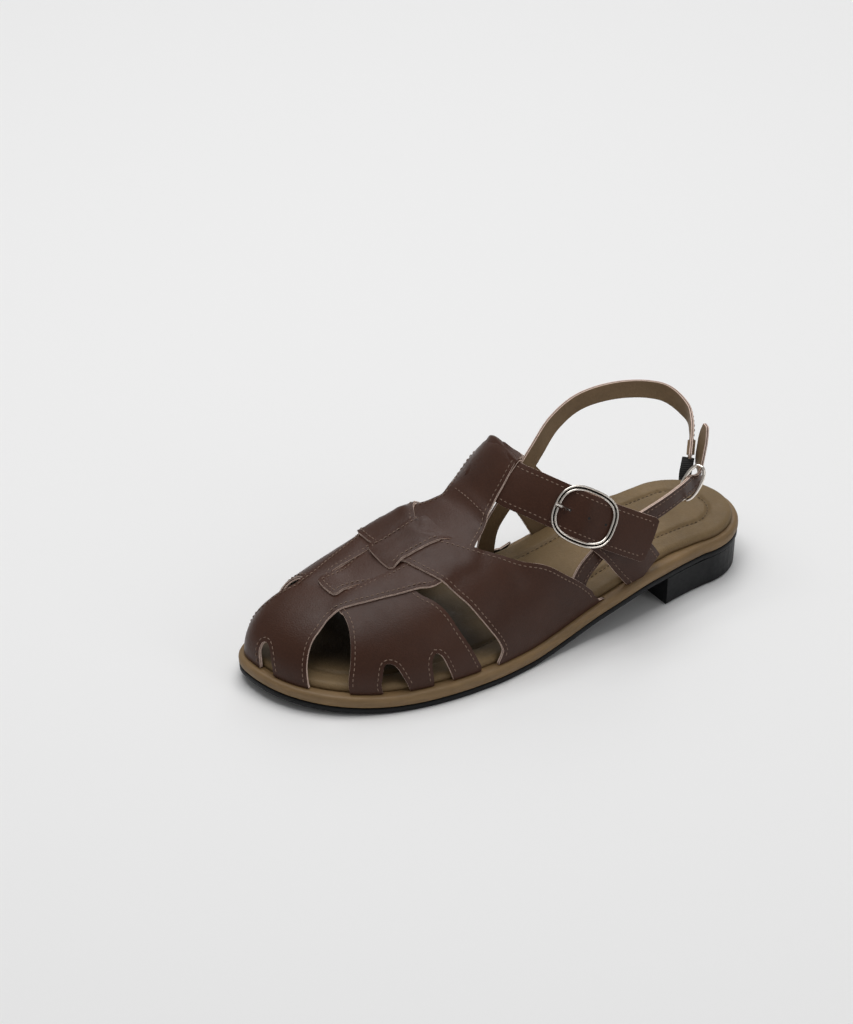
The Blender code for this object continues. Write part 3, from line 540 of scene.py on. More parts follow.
def thick(name, points, normals, quads, tris, wall, materials):
    """Strap with two layers: its face, the cut edge as a profile carried round each border, its underside."""
    parts = [points]
    faces, slots = [quads, tris], [np.zeros(len(quads)), np.zeros(len(tris))]
    loops = border(quads, tris)
    start = len(points)
    under_from = start + (len(EDGE_ROWS) - 1) * sum(len(loop) for loop in loops)
    for loop in loops:
        p, up = points[loop], normals[loop]
        out = unit(np.cross(around(p), up))
        previous = loop
        for k, (outward, depth, kind) in enumerate(EDGE_ROWS):
            if k == len(EDGE_ROWS) - 1:
                here = under_from + loop
            else:
                parts.append(p + out * (outward * wall) - up * (depth * wall))
                here = start + np.arange(len(loop))
                start += len(loop)
            faces.append(bands(previous, here))
            slots.append(np.full(len(loop), kind))
            previous = here
    parts.append(points - normals * wall)
    faces += [quads[:, ::-1] + under_from, tris[:, ::-1] + under_from]
    slots += [np.full(len(quads), 2), np.full(len(tris), 2)]
    return make_mesh(name, np.concatenate(parts), faces, slots, materials)


def stitch_line(points, normals, size):
    """Short threads along a line on the leather: their middles, directions and normals, a pitch apart."""
    run = run_of(points)
    count = int(run[-1] / size.stitch_pitch)
    if count < 2:
        return None
    at = (np.arange(count) + 0.5) * run[-1] / count
    ahead, back = (sampled(points, run, at + span) for span in (STITCH_SPAN, -STITCH_SPAN))
    return sampled(points, run, at), unit(ahead - back), unit(sampled(normals, run, at))


def threads(name, lines, size, made):
    """All stitches as one mesh: round bars that arch by sin(pi t) out of the leather and thin out."""
    lines = [line for line in lines if line is not None]
    middle, way, up = (np.concatenate([line[k] for line in lines]) for k in range(3))
    up = unit(up - way * (up * way).sum(-1, keepdims=True))
    side = np.cross(way, up)
    t = np.linspace(0, 1, 6)
    turn = np.linspace(0, 2 * math.pi, 6, endpoint=False)
    radius = size.stitch_width / 2 * (THREAD_END + (1 - THREAD_END) * np.sin(math.pi * t) ** 0.5)
    lift = size.stitch_width * (THREAD_RISE * np.sin(math.pi * t) - THREAD_SINK)
    w = (t - 0.5) * size.stitch_length
    ring = (
        middle[:, None, None]
        + way[:, None, None] * w[None, :, None, None]
        + side[:, None, None] * (radius[:, None] * np.cos(turn))[None, :, :, None]
        + up[:, None, None] * (lift[:, None] + radius[:, None] * np.sin(turn))[None, :, :, None]
    )
    index = np.arange(ring.size // 3).reshape(ring.shape[:3])
    quads = bands(index[:, :-1], index[:, 1:])[:, ::-1]
    caps = np.concatenate([index[:, 0], index[:, -1][:, ::-1]])
    return make_mesh(name, ring.reshape(-1, 3), [quads, caps], materials=[made])


# Nodes of the materials.


def new_material(name):
    """Material with its node tree, its shader and the object coordinates."""
    made = bpy.data.materials.new(name)
    made.use_nodes = True
    tree = made.node_tree
    return made, tree, tree.nodes["Principled BSDF"], add(tree, "ShaderNodeTexCoord").outputs["Object"]


def add(tree, kind, **values):
    node = tree.nodes.new(kind)
    for key, value in values.items():
        if key in node.inputs:
            node.inputs[key].default_value = value
        else:
            setattr(node, key, value)
    return node


def put(shader, values):
    for key, value in values.items():
        shader.inputs[key].default_value = value


def noise(tree, place, scale, detail):
    node = add(tree, "ShaderNodeTexNoise", Scale=scale, Detail=detail, Roughness=0.55)
    tree.links.new(place, node.inputs["Vector"])
    return node.outputs["Fac"]


def cells(tree, place, scale):
    node = add(tree, "ShaderNodeTexVoronoi", Scale=scale, feature="F1")
    tree.links.new(place, node.inputs["Vector"])
    return node.outputs["Distance"]


def ranged(tree, value, low, high, to_low, to_high):
    node = add(tree, "ShaderNodeMapRange")
    for key, number in (("From Min", low), ("From Max", high), ("To Min", to_low), ("To Max", to_high)):
        node.inputs[key].default_value = number
    tree.links.new(value, node.inputs["Value"])
    return node.outputs["Result"]


def clouds(tree, place, scale, detail, low=0.0, high=1.0):
    """Noise with its middle part stretched from low to high."""
    return ranged(tree, noise(tree, place, scale, detail), 0.3, 0.7, low, high)


def weighted(tree, *terms):
    """Sum of the terms, each a value and its weight."""
    total = None
    for value, weight in terms:
        if weight != 1:
            node = add(tree, "ShaderNodeMath", operation="MULTIPLY")
            tree.links.new(value, node.inputs[0])
            node.inputs[1].default_value = weight
            value = node.outputs[0]
        if total is None:
            total = value
            continue
        node = add(tree, "ShaderNodeMath", operation="ADD")
        tree.links.new(total, node.inputs[0])
        tree.links.new(value, node.inputs[1])
        total = node.outputs[0]
    return total


def blended(tree, share, a, b):
    node = add(tree, "ShaderNodeMix", data_type="RGBA")
    tree.links.new(share, node.inputs["Factor"])
    for key, value in ((6, a), (7, b)):
        if isinstance(value, tuple):
            node.inputs[key].default_value = (*value, 1.0)
        else:
            tree.links.new(value, node.inputs[key])
    return node.outputs[2]


def bumped(tree, shader, height, strength, distance):
    node = add(tree, "ShaderNodeBump", Strength=strength, Distance=distance)
    tree.links.new(height, node.inputs["Height"])
    tree.links.new(node.outputs["Normal"], shader.inputs["Normal"])


def shaded(colour, share):
    return tuple(float(c) * share for c in colour)


def toned(tree, place, tint, scale, detail, low, high):
    """The tint in clouds between two shares of it."""
    return blended(tree, clouds(tree, place, scale, detail), shaded(tint, low), shaded(tint, high))


def coloured(tree, shader, base):
    tree.links.new(base, shader.inputs["Base Color"])


def uneven(tree, shader, place, scale, detail, low, high):
    """Roughness in clouds from low to high."""
    tree.links.new(clouds(tree, place, scale, detail, low, high), shader.inputs["Roughness"])


def leather_material(tint):
    """Smooth brown leather: fine pores, faint cloudy tone, a soft wax gloss and lighter specks."""
    made, tree, shader, place = new_material("brown_leather")
    base = toned(tree, place, tint, 38, 4, 0.86, 1.14)
    speck = ranged(tree, noise(tree, place, 900, 2), 0.35, 0.65, 0, 0.22)
    coloured(tree, shader, blended(tree, speck, base, shaded(tint, 1.45)))
    uneven(tree, shader, place, 160, 3, 0.34, 0.46)
    pores = ranged(tree, cells(tree, place, 1350), 0.0, 0.7, 0, 1)
    fine, coarse = noise(tree, place, 2600, 2), noise(tree, place, 130, 3)
    grain = weighted(tree, (pores, 0.6), (fine, 0.5), (coarse, 1.4))
    bumped(tree, shader, grain, 0.32, 0.00022)
    put(shader, {"Specular IOR Level": 0.22, "Coat Weight": 0.03, "Coat Roughness": 0.38})
    return made


def raw_material(tint):
    """Cut edge of the leather: pale fibres with darker flecks."""
    made, tree, shader, place = new_material("raw_edge")
    coloured(tree, shader, toned(tree, place, tint, 1400, 4, 0.72, 1.18))
    put(shader, {"Roughness": 0.8})
    bumped(tree, shader, noise(tree, place, 3000, 3), 0.4, 0.0002)
    return made


def lining_material(name, tint, rough=0.62, cover=None):
    """Tan leather: soft cloudy tone and small wrinkles, with painted shade where the attribute cover says so.
    """
    made, tree, shader, place = new_material(name)
    base = toned(tree, place, tint, 45, 5, 0.84, 1.13)
    speck = ranged(tree, noise(tree, place, 700, 3), 0.4, 0.6, 0, 0.16)
    base = blended(tree, speck, base, shaded(tint, 0.62))
    if cover:
        # Painted shade: the tint darkened to 0.22 of itself where the attribute says so.
        shade_mask = add(tree, "ShaderNodeAttribute", attribute_name=cover)
        base = blended(tree, shade_mask.outputs["Fac"], base, shaded(tint, 0.22))
    coloured(tree, shader, base)
    uneven(tree, shader, place, 200, 3, rough - 0.07, rough + 0.07)
    grain = weighted(tree, (cells(tree, place, 1500), 1), (noise(tree, place, 260, 4), 1.6))
    bumped(tree, shader, grain, 0.3, 0.0003)
    put(shader, {"Specular IOR Level": 0.25})
    return made


def band_material(tint):
    """Tan edge band: smooth painted edge with faint lengthwise streaks."""
    made, tree, shader, place = new_material("tan_band")
    stretch = add(tree, "ShaderNodeMapping", Scale=(1.0, 1.0, 7.0))
    tree.links.new(place, stretch.inputs["Vector"])
    coloured(tree, shader, toned(tree, stretch.outputs[0], tint, 60, 4, 0.80, 1.12))
    uneven(tree, shader, place, 300, 3, 0.50, 0.64)
    bumped(tree, shader, noise(tree, stretch.outputs[0], 700, 4), 0.25, 0.0002)
    return made


def rubber_material(tint):
    """Black moulded rubber: matt with a fine speckle."""
    made, tree, shader, place = new_material("black_rubber")
    coloured(tree, shader, toned(tree, place, tint, 90, 4, 0.8, 1.35))
    uneven(tree, shader, place, 500, 3, 0.44, 0.58)
    bumped(tree, shader, noise(tree, place, 1800, 3), 0.22, 0.0002)
    put(shader, {"Specular IOR Level": 0.22})
    return made


def metal_material(tint):
    """Polished nickel with fine scratches."""
    made, tree, shader, place = new_material("silver_metal")
    put(shader, {"Base Color": (*tint, 1.0), "Metallic": 1.0})
    uneven(tree, shader, place, 420, 4, 0.07, 0.16)
    return made


def thread_material(name, tint):
    """Twisted thread."""
    made, tree, shader, place = new_material(name)
    coloured(tree, shader, toned(tree, place, tint, 2500, 2, 0.6, 1.25))
    put(shader, {"Roughness": 0.72})
    bumped(tree, shader, noise(tree, place, 5000, 2), 0.4, 0.0001)
    return made


def elastic_material():
    """Black woven elastic with ribs."""
    made, tree, shader, place = new_material("black_elastic")
    wave = add(tree, "ShaderNodeTexWave", Scale=420.0, Distortion=0.6, bands_direction="Z")
    tree.links.new(place, wave.inputs["Vector"])
    # The ribs' low parts are painted darker by the same wave that bumps them: painted shade in the valleys.
    coloured(tree, shader, blended(tree, wave.outputs["Fac"], (0.006, 0.006, 0.006), (0.022, 0.020, 0.019)))
    put(shader, {"Roughness": 0.85})
    bumped(tree, shader, wave.outputs["Fac"], 0.6, 0.0003)
    return made


MADE = {}


def make_materials():
    tint = colours()
    MADE["leather"] = leather_material(tint.leather)
    MADE["raw"] = raw_material(tint.raw_edge)
    MADE["lining"] = lining_material("tan_lining", tint.lining)
    # The underside material: the under tint, painted shade for the dark inside under the upper's straps.
    MADE["under"] = lining_material("dark_underside", tint.under)
    # The insole's attribute cover carries painted shade inside the toe.
    MADE["insole"] = lining_material("tan_insole", tint.insole, 0.58, "cover")
    MADE["band"] = band_material(tint.band)
    MADE["rubber"] = rubber_material(tint.rubber)
    MADE["metal"] = metal_material(tint.metal)
    MADE["thread"] = thread_material("leather_thread", tint.thread)
    MADE["insole_thread"] = thread_material("insole_thread", shaded(tint.insole, 0.55))
    MADE["elastic"] = elastic_material()
    # Near black material: painted shade in the strap's holes and in the buckle frame's groove.
    MADE["dark"] = thread_material("hole_dark", (0.004, 0.003, 0.003))


# Outlines of the upper's straps on the outer half: share of the sole's length, share of the half width.
TOE_CAP_EDGE = [
    (0.775, 0.085), (0.740, 0.110), (0.700, 0.125), (0.650, 0.150), (0.640, 0.300), (0.680, 0.354),
    (0.704, 0.320), (0.727, 0.290), (0.745, 0.262), (0.765, 0.235), (0.785, 0.205), (0.803, 0.190),
    (0.822, 0.200), (0.842, 0.235), (0.865, 0.270), (0.885, 0.315), (0.915, 0.400), (0.940, 0.480),
    (0.965, 0.550), (1.020, 0.500), (1.030, 0.250),
]
TOE_ARCH = [(1.010, 0.220), (0.979, 0.210), (0.949, 0.135), (0.932, 0.070), (0.928, 0.030), (0.934, -0.010),
            (0.955, -0.010), (0.985, 0.045), (1.010, 0.050)]
SIDE_PANEL = [
    (0.798, 0.175), (0.801, 0.226), (0.807, 0.311), (0.817, 0.389), (0.831, 0.475), (0.852, 0.577),
    (0.892, 0.745), (0.910, 0.950), (0.800, 1.080), (0.670, 1.080), (0.651, 1.000), (0.658, 0.930),
    (0.672, 0.811), (0.682, 0.693), (0.688, 0.566), (0.695, 0.464), (0.706, 0.370), (0.714, 0.280),
    (0.745, 0.150),
]
SIDE_ARCHES = [
    [
        (0.845, 1.060), (0.838, 0.850), (0.822, 0.755), (0.809, 0.695), (0.801, 0.686), (0.793, 0.719),
        (0.791, 0.803), (0.797, 1.060),
    ],
    [
        (0.752, 1.080), (0.746, 0.953), (0.740, 0.835), (0.733, 0.784), (0.727, 0.767), (0.719, 0.801),
        (0.714, 0.886), (0.708, 1.080),
    ],
]
QUARTER_FRONT = [
    (0.706, 0.048), (0.698, 0.108), (0.693, 0.177), (0.687, 0.245), (0.680, 0.314), (0.672, 0.392),
    (0.663, 0.478), (0.651, 0.564), (0.640, 0.659), (0.626, 0.762), (0.610, 0.866), (0.602, 0.936),
    (0.598, 1.040),
]
QUARTER_REAR = [
    (0.382, 1.050), (0.391, 0.976), (0.412, 0.926), (0.457, 0.813), (0.510, 0.615), (0.550, 0.443),
    (0.565, 0.386), (0.597, 0.269), (0.626, 0.147), (0.655, 0.047),
]
QUARTER_SKEW = 0.030
STRAP_SIDE = [
    (0.536, 0.188), (0.550, 0.205), (0.569, 0.228), (0.592, 0.260), (0.615, 0.330), (0.640, 0.300),
    (0.665, 0.100),
]
CENTRE_SIDE = [(0.793, 0.074), (0.778, 0.080), (0.760, 0.088), (0.740, 0.125), (0.720, 0.150), (0.690, 0.160)]
TONGUE_SIDE = [(0.596, 0.132), (0.630, 0.122), (0.660, 0.112), (0.700, 0.105), (0.716, 0.100)]
# Heights of the straps over the last.
CAP_HEIGHT, MIDDLE_HEIGHT, QUARTER_HEIGHT, TONGUE_HEIGHT = 0.0004, 0.0003, 0.0006, 0.0010
CENTRE_LOW, CENTRE_HIGH = -0.0001, 0.0021
LOOP_FOOT, LOOP_RAMP = 0.535, 0.032
STRAP_CROWN = [
    # across, along
    (-0.172, 0.479),
    (-0.130, 0.485),
    (-0.050, 0.491),
]
LOOP_FROM, LOOP_TO = -0.225, 0.050
LOOP_OUTER = [(0.455, 0.120), (0.453, 0.224), (0.470, 0.222), (0.492, 0.210), (0.512, 0.192)]
LOOP_INNER = [(0.510, -0.335), (0.487, -0.290), (0.466, -0.245), (0.441, -0.200), (0.447, -0.100)]
LOOP_ROUND, LOOP_TURN, LOOP_DROP = 0.463, 0.010, 0.0030
LOOP_SLANT, LOOP_STRAIGHT = 0.20, 0.010
LOOP_CORNER, LOOP_CORNER_INSIDE, LOOP_REACH = 0.0016, 0.0004, 0.03
SEAM_AT, SEAM_SPAN = 0.543, (-0.20, 0.175)
SEWN_TO = 0.985  # share of the way to the sole's edge up to which an edge is sewn
TONGUE_FROM, TONGUE_RISE = 0.606, 0.040
CENTRE_FROM, CENTRE_TO = 0.748, 0.783
FOLD_AT, FOLD_RISE, FOLD_SIZE = (0.640, -0.185), 0.0016, (0.012, 0.045)


def rounded(points, step):
    """Points about a step apart on a closed smooth curve (Catmull-Rom) through the given ones."""
    pts = np.asarray(points, float)
    n = len(pts)
    out = []
    for i in range(n):
        a, b = pts[i], pts[(i + 1) % n]
        count = max(1, int(round(np.linalg.norm(b - a) / step)))
        t = (np.arange(count) / count)[:, None]
        out.append(cubic(a, b, (b - pts[i - 1]) / 2, (pts[(i + 2) % n] - a) / 2, t))
    return np.concatenate(out)


def within(points, loops):
    """Which plan points lie inside the first loop and outside the others."""
    inside = crossed(points, loops[0])
    for hole in loops[1:]:
        inside &= ~crossed(points, hole)
    return inside


def filled(loops, step):
    """Triangles that fill an outline around its holes, with a hexagonal grid of points inside it."""
    points = np.concatenate(loops)
    starts = np.cumsum([0] + [len(loop) for loop in loops])
    edges = [(s + i, s + (i + 1) % len(loop)) for s, loop in zip(starts, loops) for i in range(len(loop))]
    low, high = loops[0].min(axis=0), loops[0].max(axis=0)
    xs = np.arange(low[0], high[0], step)
    ys = np.arange(low[1], high[1], step * math.sqrt(3) / 2)
    x, y = np.meshgrid(xs, ys)
    x = x + (np.arange(len(ys)) % 2)[:, None] * step / 2
    grid = np.stack([x.ravel(), y.ravel()], -1)
    grid = grid[within(grid, loops)]
    grid = grid[distance_to(grid, points, False) > 0.6 * step]
    every = [Vector(p) for p in np.concatenate([points, grid]).tolist()]
    flat, _, faces, *_ = delaunay_2d_cdt(every, edges, [], 0, 1e-7)
    flat = np.array([tuple(v) for v in flat])
    faces = np.array([f for f in faces if len(f) == 3])
    faces = faces[within(flat[faces].mean(axis=1), loops)]
    x, y = flat[faces, 0], flat[faces, 1]
    area = (x * np.roll(y, -1, axis=1) - np.roll(x, -1, axis=1) * y).sum(axis=1)
    faces[area < 0] = faces[area < 0][:, ::-1]
    used, back = np.unique(faces, return_inverse=True)
    return flat[used], back.reshape(faces.shape)


class Patch:
    """One strap of the upper: its filled outline in the plan, and the straps that it lies on."""

    def __init__(self, name, rows, holes=(), base=0.0, below=(), height=None):
        self.name, self.base, self.below, self.own = name, base, below, height
        outline = to_edge(rounded(pattern_point(rows), OUTLINE_STEP))
        gap = np.linalg.norm(outline - np.roll(outline, 1, axis=0), axis=1)
        self.outline = outline[gap > 0.3 * OUTLINE_STEP]
        loops = [self.outline] + [rounded(pattern_point(hole), OUTLINE_STEP) for hole in holes]
        self.points, self.tris = filled(loops, FILL_STEP)
        self.loops = border(self.tris[:0], self.tris)

    def height(self, q):
        """Height over the last: the strap's own, or on another strap that one's height and a crossing."""
        top = self.own(q) if self.own else np.full(len(q), self.base)
        for other in self.below:
            top = np.maximum(top, cover(q, other.outline, RAMP) * (other.height(q) + sizes().crossing))
        return top


def sleeve(name, centre, wide, out, outer, inner, materials):
    """Closed sleeve: an outer and an inner section of (width, outward) points carried along a path.

    The materials are those of the outside, the ends and the inside.
    """
    points = np.concatenate([carried(centre, wide, out, s).reshape(-1, 3) for s in (outer, inner)])
    a = np.arange(len(centre) * len(outer)).reshape(len(centre), len(outer))
    b = a + a.size
    faces = [bands(a[:-1], a[1:]), bands(b[1:], b[:-1]), bands(b[0], a[0]), bands(a[-1], b[-1])]
    kinds = [np.full(len(part), kind) for part, kind in zip(faces, (0, 2, 1, 1))]
    return make_mesh(name, points, faces, kinds, materials)


def placed(rows):
    """Rows of shares of the sole's length, ball width and instep height as points, the rest as it is."""
    rows = np.asarray(rows, float)
    where = np.stack([BALL_WIDTH * rows[:, 1], y_at(rows[:, 0]), INSTEP_HEIGHT * rows[:, 2]], -1)
    return np.concatenate([where, rows[:, 3:]], axis=1)


def foot(place, rows, inset, turn=1):
    """The rows with a first one that stands on the band's top, its width along the edge."""
    side, share = place
    y = float(y_at(share)) + np.array([-GAP, 0, GAP])
    ends = np.stack([side * (half_width(y, side) - inset), y, band_top(y) + 3 * GAP], -1)
    wide = turn * unit(ends[2] - ends[0])
    return np.concatenate([[np.concatenate([ends[1], wide])], placed(rows)])


# Straps that stand free: their middle line as shares of the sole's length, of the ball width and of
# the instep height, then the direction of the strap's width.
STRAP_INNER = [
    (0.353, -0.294, 0.439, 0.05, 0.86, 0.50),
    (0.396, -0.353, 0.595, 0.05, 0.80, 0.60),
    (0.440, -0.362, 0.672, 0.00, 0.80, 0.60),
]
STRAP_OUTER = [
    (0.486, 0.077, 0.824, -0.06, 0.66, 0.75),
    (0.462, 0.175, 0.795, -0.12, 0.64, 0.76),
    (0.430, 0.263, 0.746, -0.16, 0.62, 0.77),
    (0.390, 0.356, 0.682, -0.18, 0.63, 0.75),
    (0.333, 0.413, 0.587, -0.18, 0.66, 0.72),
    (0.277, 0.440, 0.491, -0.16, 0.70, 0.69),
]
BUCKLE_AT = (0.395, 0.334, 0.688)
BUCKLE_STRAP = [
    (0.301, 0.383, 0.382, 0.00, 0.95, 0.30),
    (0.325, 0.376, 0.480, -0.04, 0.87, 0.48),
    (0.347, 0.356, 0.555, -0.08, 0.78, 0.62),
    (0.369, 0.323, 0.613, -0.12, 0.72, 0.68),
]
SLING_INNER = [
    (0.442, -0.303, 0.312, 0.00, 0.93, -0.37),
    (0.416, -0.287, 0.445, 0.00, 0.85, -0.53),
    (0.384, -0.287, 0.566, 0.00, 0.75, -0.66),
    (0.341, -0.310, 0.694, 0.00, 0.62, -0.78),
    (0.293, -0.350, 0.798, 0.00, 0.45, -0.89),
    (0.233, -0.356, 0.873, 0.00, 0.20, -0.98),
    (0.157, -0.307, 0.896, 0.03, 0.00, -1.00),
    (0.096, -0.197, 0.884, 0.05, -0.03, -1.00),
    (0.076, -0.066, 0.821, -0.05, 0.05, -1.00),
    (0.086, 0.022, 0.775, -0.35, 0.16, -0.92),
    (0.104, 0.088, 0.717, -0.46, 0.22, -0.86),
    (0.119, 0.138, 0.672, -0.46, 0.24, -0.85),
]
SLING_OUTER = [
    (0.414, 0.378, 0.347, 0.00, -0.80, 0.60),
    (0.373, 0.345, 0.430, 0.00, -0.55, 0.83),
    (0.337, 0.329, 0.480, 0.00, -0.40, 0.92),
    (0.301, 0.318, 0.511, 0.00, -0.25, 0.97),
    (0.217, 0.290, 0.555, 0.00, -0.10, 0.99),
    (0.161, 0.243, 0.570, 0.00, -0.05, 1.00),
    (0.126, 0.190, 0.560, 0.00, -0.20, 0.98),
    (0.110, 0.183, 0.588, 0.45, -0.50, 0.70),
    (0.105, 0.166, 0.645, 0.93, -0.34, 0.10),
    (0.098, 0.164, 0.760, 0.96, -0.27, 0.00),
    (0.092, 0.168, 0.865, 0.96, -0.27, 0.00),
]
ELASTIC = [
    (0.119, 0.128, 0.676, 0.30, 0.90, 0.20),
    (0.126, 0.145, 0.650, 0.54, 0.84, 0.00),
    (0.133, 0.159, 0.610, 0.54, 0.84, 0.00),
    (0.136, 0.168, 0.578, 0.54, 0.84, 0.00),
]
RING_AT = (0.129, 0.200, 0.571)
RING_UP = (0.0, 0.55, 0.835)
RING_SIDE = (0.80, 0.35, -0.23)
RING_OFF = (0.72, -0.46, 0.52)
STRAP_FOOT = (-1, 0.317)
BUCKLE_STRAP_FOOT = (1, 0.273)
SLING_INNER_FOOT = (-1, 0.454)
SLING_OUTER_FOOT = (1, 0.442)
STRAP_INSET = EDGE_INSET - GAP
SLING_INSET = 0.00345
# The lining's tab at the end of the inner sling.
TAB_SHIFT = (0.007, 0.020, -0.012, 0, 0, 0)
TAB_WIDE = (0.50, 0.70, 0.10)
TAB_WIDTH, TAB_THICK = 0.0034, 0.0008


def strap_rows():
    """Path of the instep strap: inner sole, over the last under the loop, then down to its tip."""
    crown = []
    for across, share in STRAP_CROWN:
        p, q = BALL_WIDTH * across, float(y_at(share))
        wide = unit(last(p, q + CROWN_SPAN) - last(p, q - CROWN_SPAN))
        crown.append(np.concatenate([last(p, q), wide]))
    return np.concatenate([foot(STRAP_FOOT, STRAP_INNER, STRAP_INSET), crown, placed(STRAP_OUTER)])


def frames(rows, step):
    """Centres, width, outward and onward directions evenly along a smooth path, about a step apart."""
    rows = np.asarray(rows, float)
    dense = curve(rows, 40 * len(rows))
    length = run_of(rows[:, :3])[-1]
    run = run_of(dense[:, :3])
    path = sampled(dense, run, np.linspace(0, run[-1], max(8, int(length / step))))
    centre, wide = path[:, :3], unit(path[:, 3:6])
    onward = unit(np.gradient(centre, axis=0))
    wide = unit(wide - onward * (wide * onward).sum(-1, keepdims=True) * SQUARED)
    return centre, wide, unit(np.cross(onward, wide)), onward


def strap_sheet(name, rows, width, wall, taper=None, crown=0.0, face=1, swell=None):
    """Strap as a grid along its path and across its width, with its cut edges carried round it.

    The width follows taper(t) of the share t along the path, and the face crowns by crown (1 - v^2).
    """
    centre, wide, out, _ = frames(rows, STRAP_STEP)
    wide, out = wide * face, out * face
    if swell is not None:
        far = np.linalg.norm(centre - swell, axis=1)
        centre = centre + out * (STRAP_SWELL * np.exp(-((far / SWELL_REACH) ** 2)))[:, None]
    t = np.linspace(0, 1, len(centre))
    half = width / 2 * (taper(t) if taper else np.ones_like(t))
    v = np.linspace(-1, 1, 17)
    top = (
        centre[:, None]
        + wide[:, None] * (half[:, None] * v[None])[..., None]
        + out[:, None] * (wall / 2 + crown * (1 - v**2))[None, :, None]
    )
    quads = sheet(*top.shape[:2])
    points, normals = top.reshape(-1, 3), np.repeat(out, len(v), axis=0)
    a, b, c = (points[quads[:, k]] for k in range(3))
    if (np.cross(b - a, c - a) * normals[quads[:, 0]]).sum() < 0:
        quads = quads[:, ::-1]
    materials = [MADE["leather"], MADE["raw"], MADE["lining"]]
    obj = thick(name, points, normals, quads, np.zeros((0, 3), int), wall, materials)
    return obj, (centre, wide, out, half)


def side_stitches(path, inset, lift, ends=(0.0, 1.0)):
    """Stitch lines along both sides of a strap."""
    centre, wide, out, half = path
    pick = slice(int(ends[0] * len(centre)), int(ends[1] * len(centre)))
    lines = []
    for side in (-1, 1):
        line = centre + wide * (side * (half - inset))[:, None] + out * lift
        lines.append(stitch_line(line[pick], out[pick], sizes()))
    return lines


def build_upper():
    """All the straps of the upper, each with its own height where it crosses the others."""
    size = sizes()
    outer_panel = Patch("side_panel_outer", SIDE_PANEL, SIDE_ARCHES)
    inner_panel = Patch("side_panel_inner", mirrored(SIDE_PANEL), [mirrored(arch) for arch in SIDE_ARCHES])
    below = (outer_panel, inner_panel)
    cap = Patch("toe_cap", both_sides(TOE_CAP_EDGE), [TOE_ARCH], base=CAP_HEIGHT, below=below)

    def centre_height(q):
        """Low between the cap's branches, then up through the slot and over the cap."""
        rise = smooth((along(q[:, 1]) - CENTRE_FROM) / (CENTRE_TO - CENTRE_FROM))
        return CENTRE_LOW * (1 - rise) + CENTRE_HIGH * rise

    centre = Patch("centre_strap", both_sides(CENTRE_SIDE), height=centre_height)
    raised = STRAP_THICK / 2 + GAP + LOOP_SHEET

    def middle_height(q):
        """Flat between the quarters, up onto the loop, over it, and rounded down behind it."""
        share = along(q[:, 1])
        slant = LOOP_SLANT * np.minimum(q[:, 0] + LOOP_STRAIGHT, 0.0) / BALL_WIDTH
        t = np.clip((LOOP_ROUND + slant - share) / LOOP_TURN, 0, 1)
        lift = raised + (MIDDLE_HEIGHT - raised) * smooth((share - LOOP_FOOT) / LOOP_RAMP)
        return lift - LOOP_DROP * (1 - np.sqrt(1 - t * t))

    loop_rows = LOOP_OUTER + STRAP_SIDE + mirrored(STRAP_SIDE)[::-1] + LOOP_INNER
    middle = Patch("middle_strap", loop_rows, height=middle_height)
    flat_middle = Patch("flat", both_sides(STRAP_SIDE), base=MIDDLE_HEIGHT)
    quarter_rows = both_sides(QUARTER_FRONT + QUARTER_REAR, QUARTER_SKEW)
    quarters = Patch("quarters", quarter_rows, base=QUARTER_HEIGHT, below=(cap, flat_middle, centre))
    plain = quarters.height

    def quarter_height(q):
        """The inner quarter's rear edge stands off the middle strap in a soft fold."""
        offset = (np.stack([along(q[:, 1]), q[:, 0] / BALL_WIDTH]).T - FOLD_AT) / FOLD_SIZE
        return plain(q) + FOLD_RISE * np.exp(-(offset**2).sum(axis=1))

    quarters.height = quarter_height
    over = Patch("over", both_sides(TONGUE_SIDE), base=TONGUE_HEIGHT, below=(quarters, centre))

    def tongue_height(q):
        """The tongue comes out of the middle strap and climbs onto the quarters and the centre strap."""
        rise = smooth((along(q[:, 1]) - TONGUE_FROM) / TONGUE_RISE)
        return (middle.height(q) - MIDDLE_HEIGHT) * (1 - rise) + over.height(q) * rise

    tongue = Patch("tongue", both_sides(TONGUE_SIDE), height=tongue_height)
    # The undersides of the upper's straps take the under tint: painted shade inside the toe.
    materials = [MADE["leather"], MADE["raw"], MADE["under"]]
    lines = []
    for piece in (outer_panel, inner_panel, cap, centre, middle, quarters, tongue):
        q = piece.points
        up = last_normal(q[:, 0], q[:, 1])
        surface = last(q[:, 0], q[:, 1]) + up * piece.height(q)[:, None]
        wall = LOOP_SHEET if piece is middle else size.wall
        obj = thick(piece.name, surface, up, piece.tris[:0], piece.tris, wall, materials)
        keep(obj, "brown_leather", *(["upper"] if piece is cap else []))
        free = edge_share(q[:, 0], q[:, 1]) < SEWN_TO
        if piece is tongue:
            free &= along(q[:, 1]) > TONGUE_FROM + 0.8 * TONGUE_RISE
        if piece is middle:
            free &= along(q[:, 1]) > LOOP_ROUND
        for loop in piece.loops:
            p, n = surface[loop], up[loop]
            line = p - unit(np.cross(around(p), n)) * size.stitch_inset
            lines += [stitch_line(line[run], n[run], size) for run in split_runs(free[loop])]
    seam = pattern_point([(SEAM_AT, u) for u in np.linspace(*SEAM_SPAN, 40)])
    up = last_normal(seam[:, 0], seam[:, 1])
    lines.append(stitch_line(last(seam[:, 0], seam[:, 1]) + up * middle.height(seam)[:, None], up, size))
    keep(threads("upper_stitches", lines, size, MADE["thread"]), "brown_leather")


def split_runs(free):
    """Lists of neighbouring places round a closed loop where free holds."""
    n = len(free)
    if free.all():
        return [np.append(np.arange(n), 0)]
    order = (int(np.argmin(free)) + np.arange(n)) % n
    runs = np.split(order, np.flatnonzero(np.diff(free[order].astype(int))) + 1)
    return [run for run in runs if free[run[0]] and len(run) > 3]


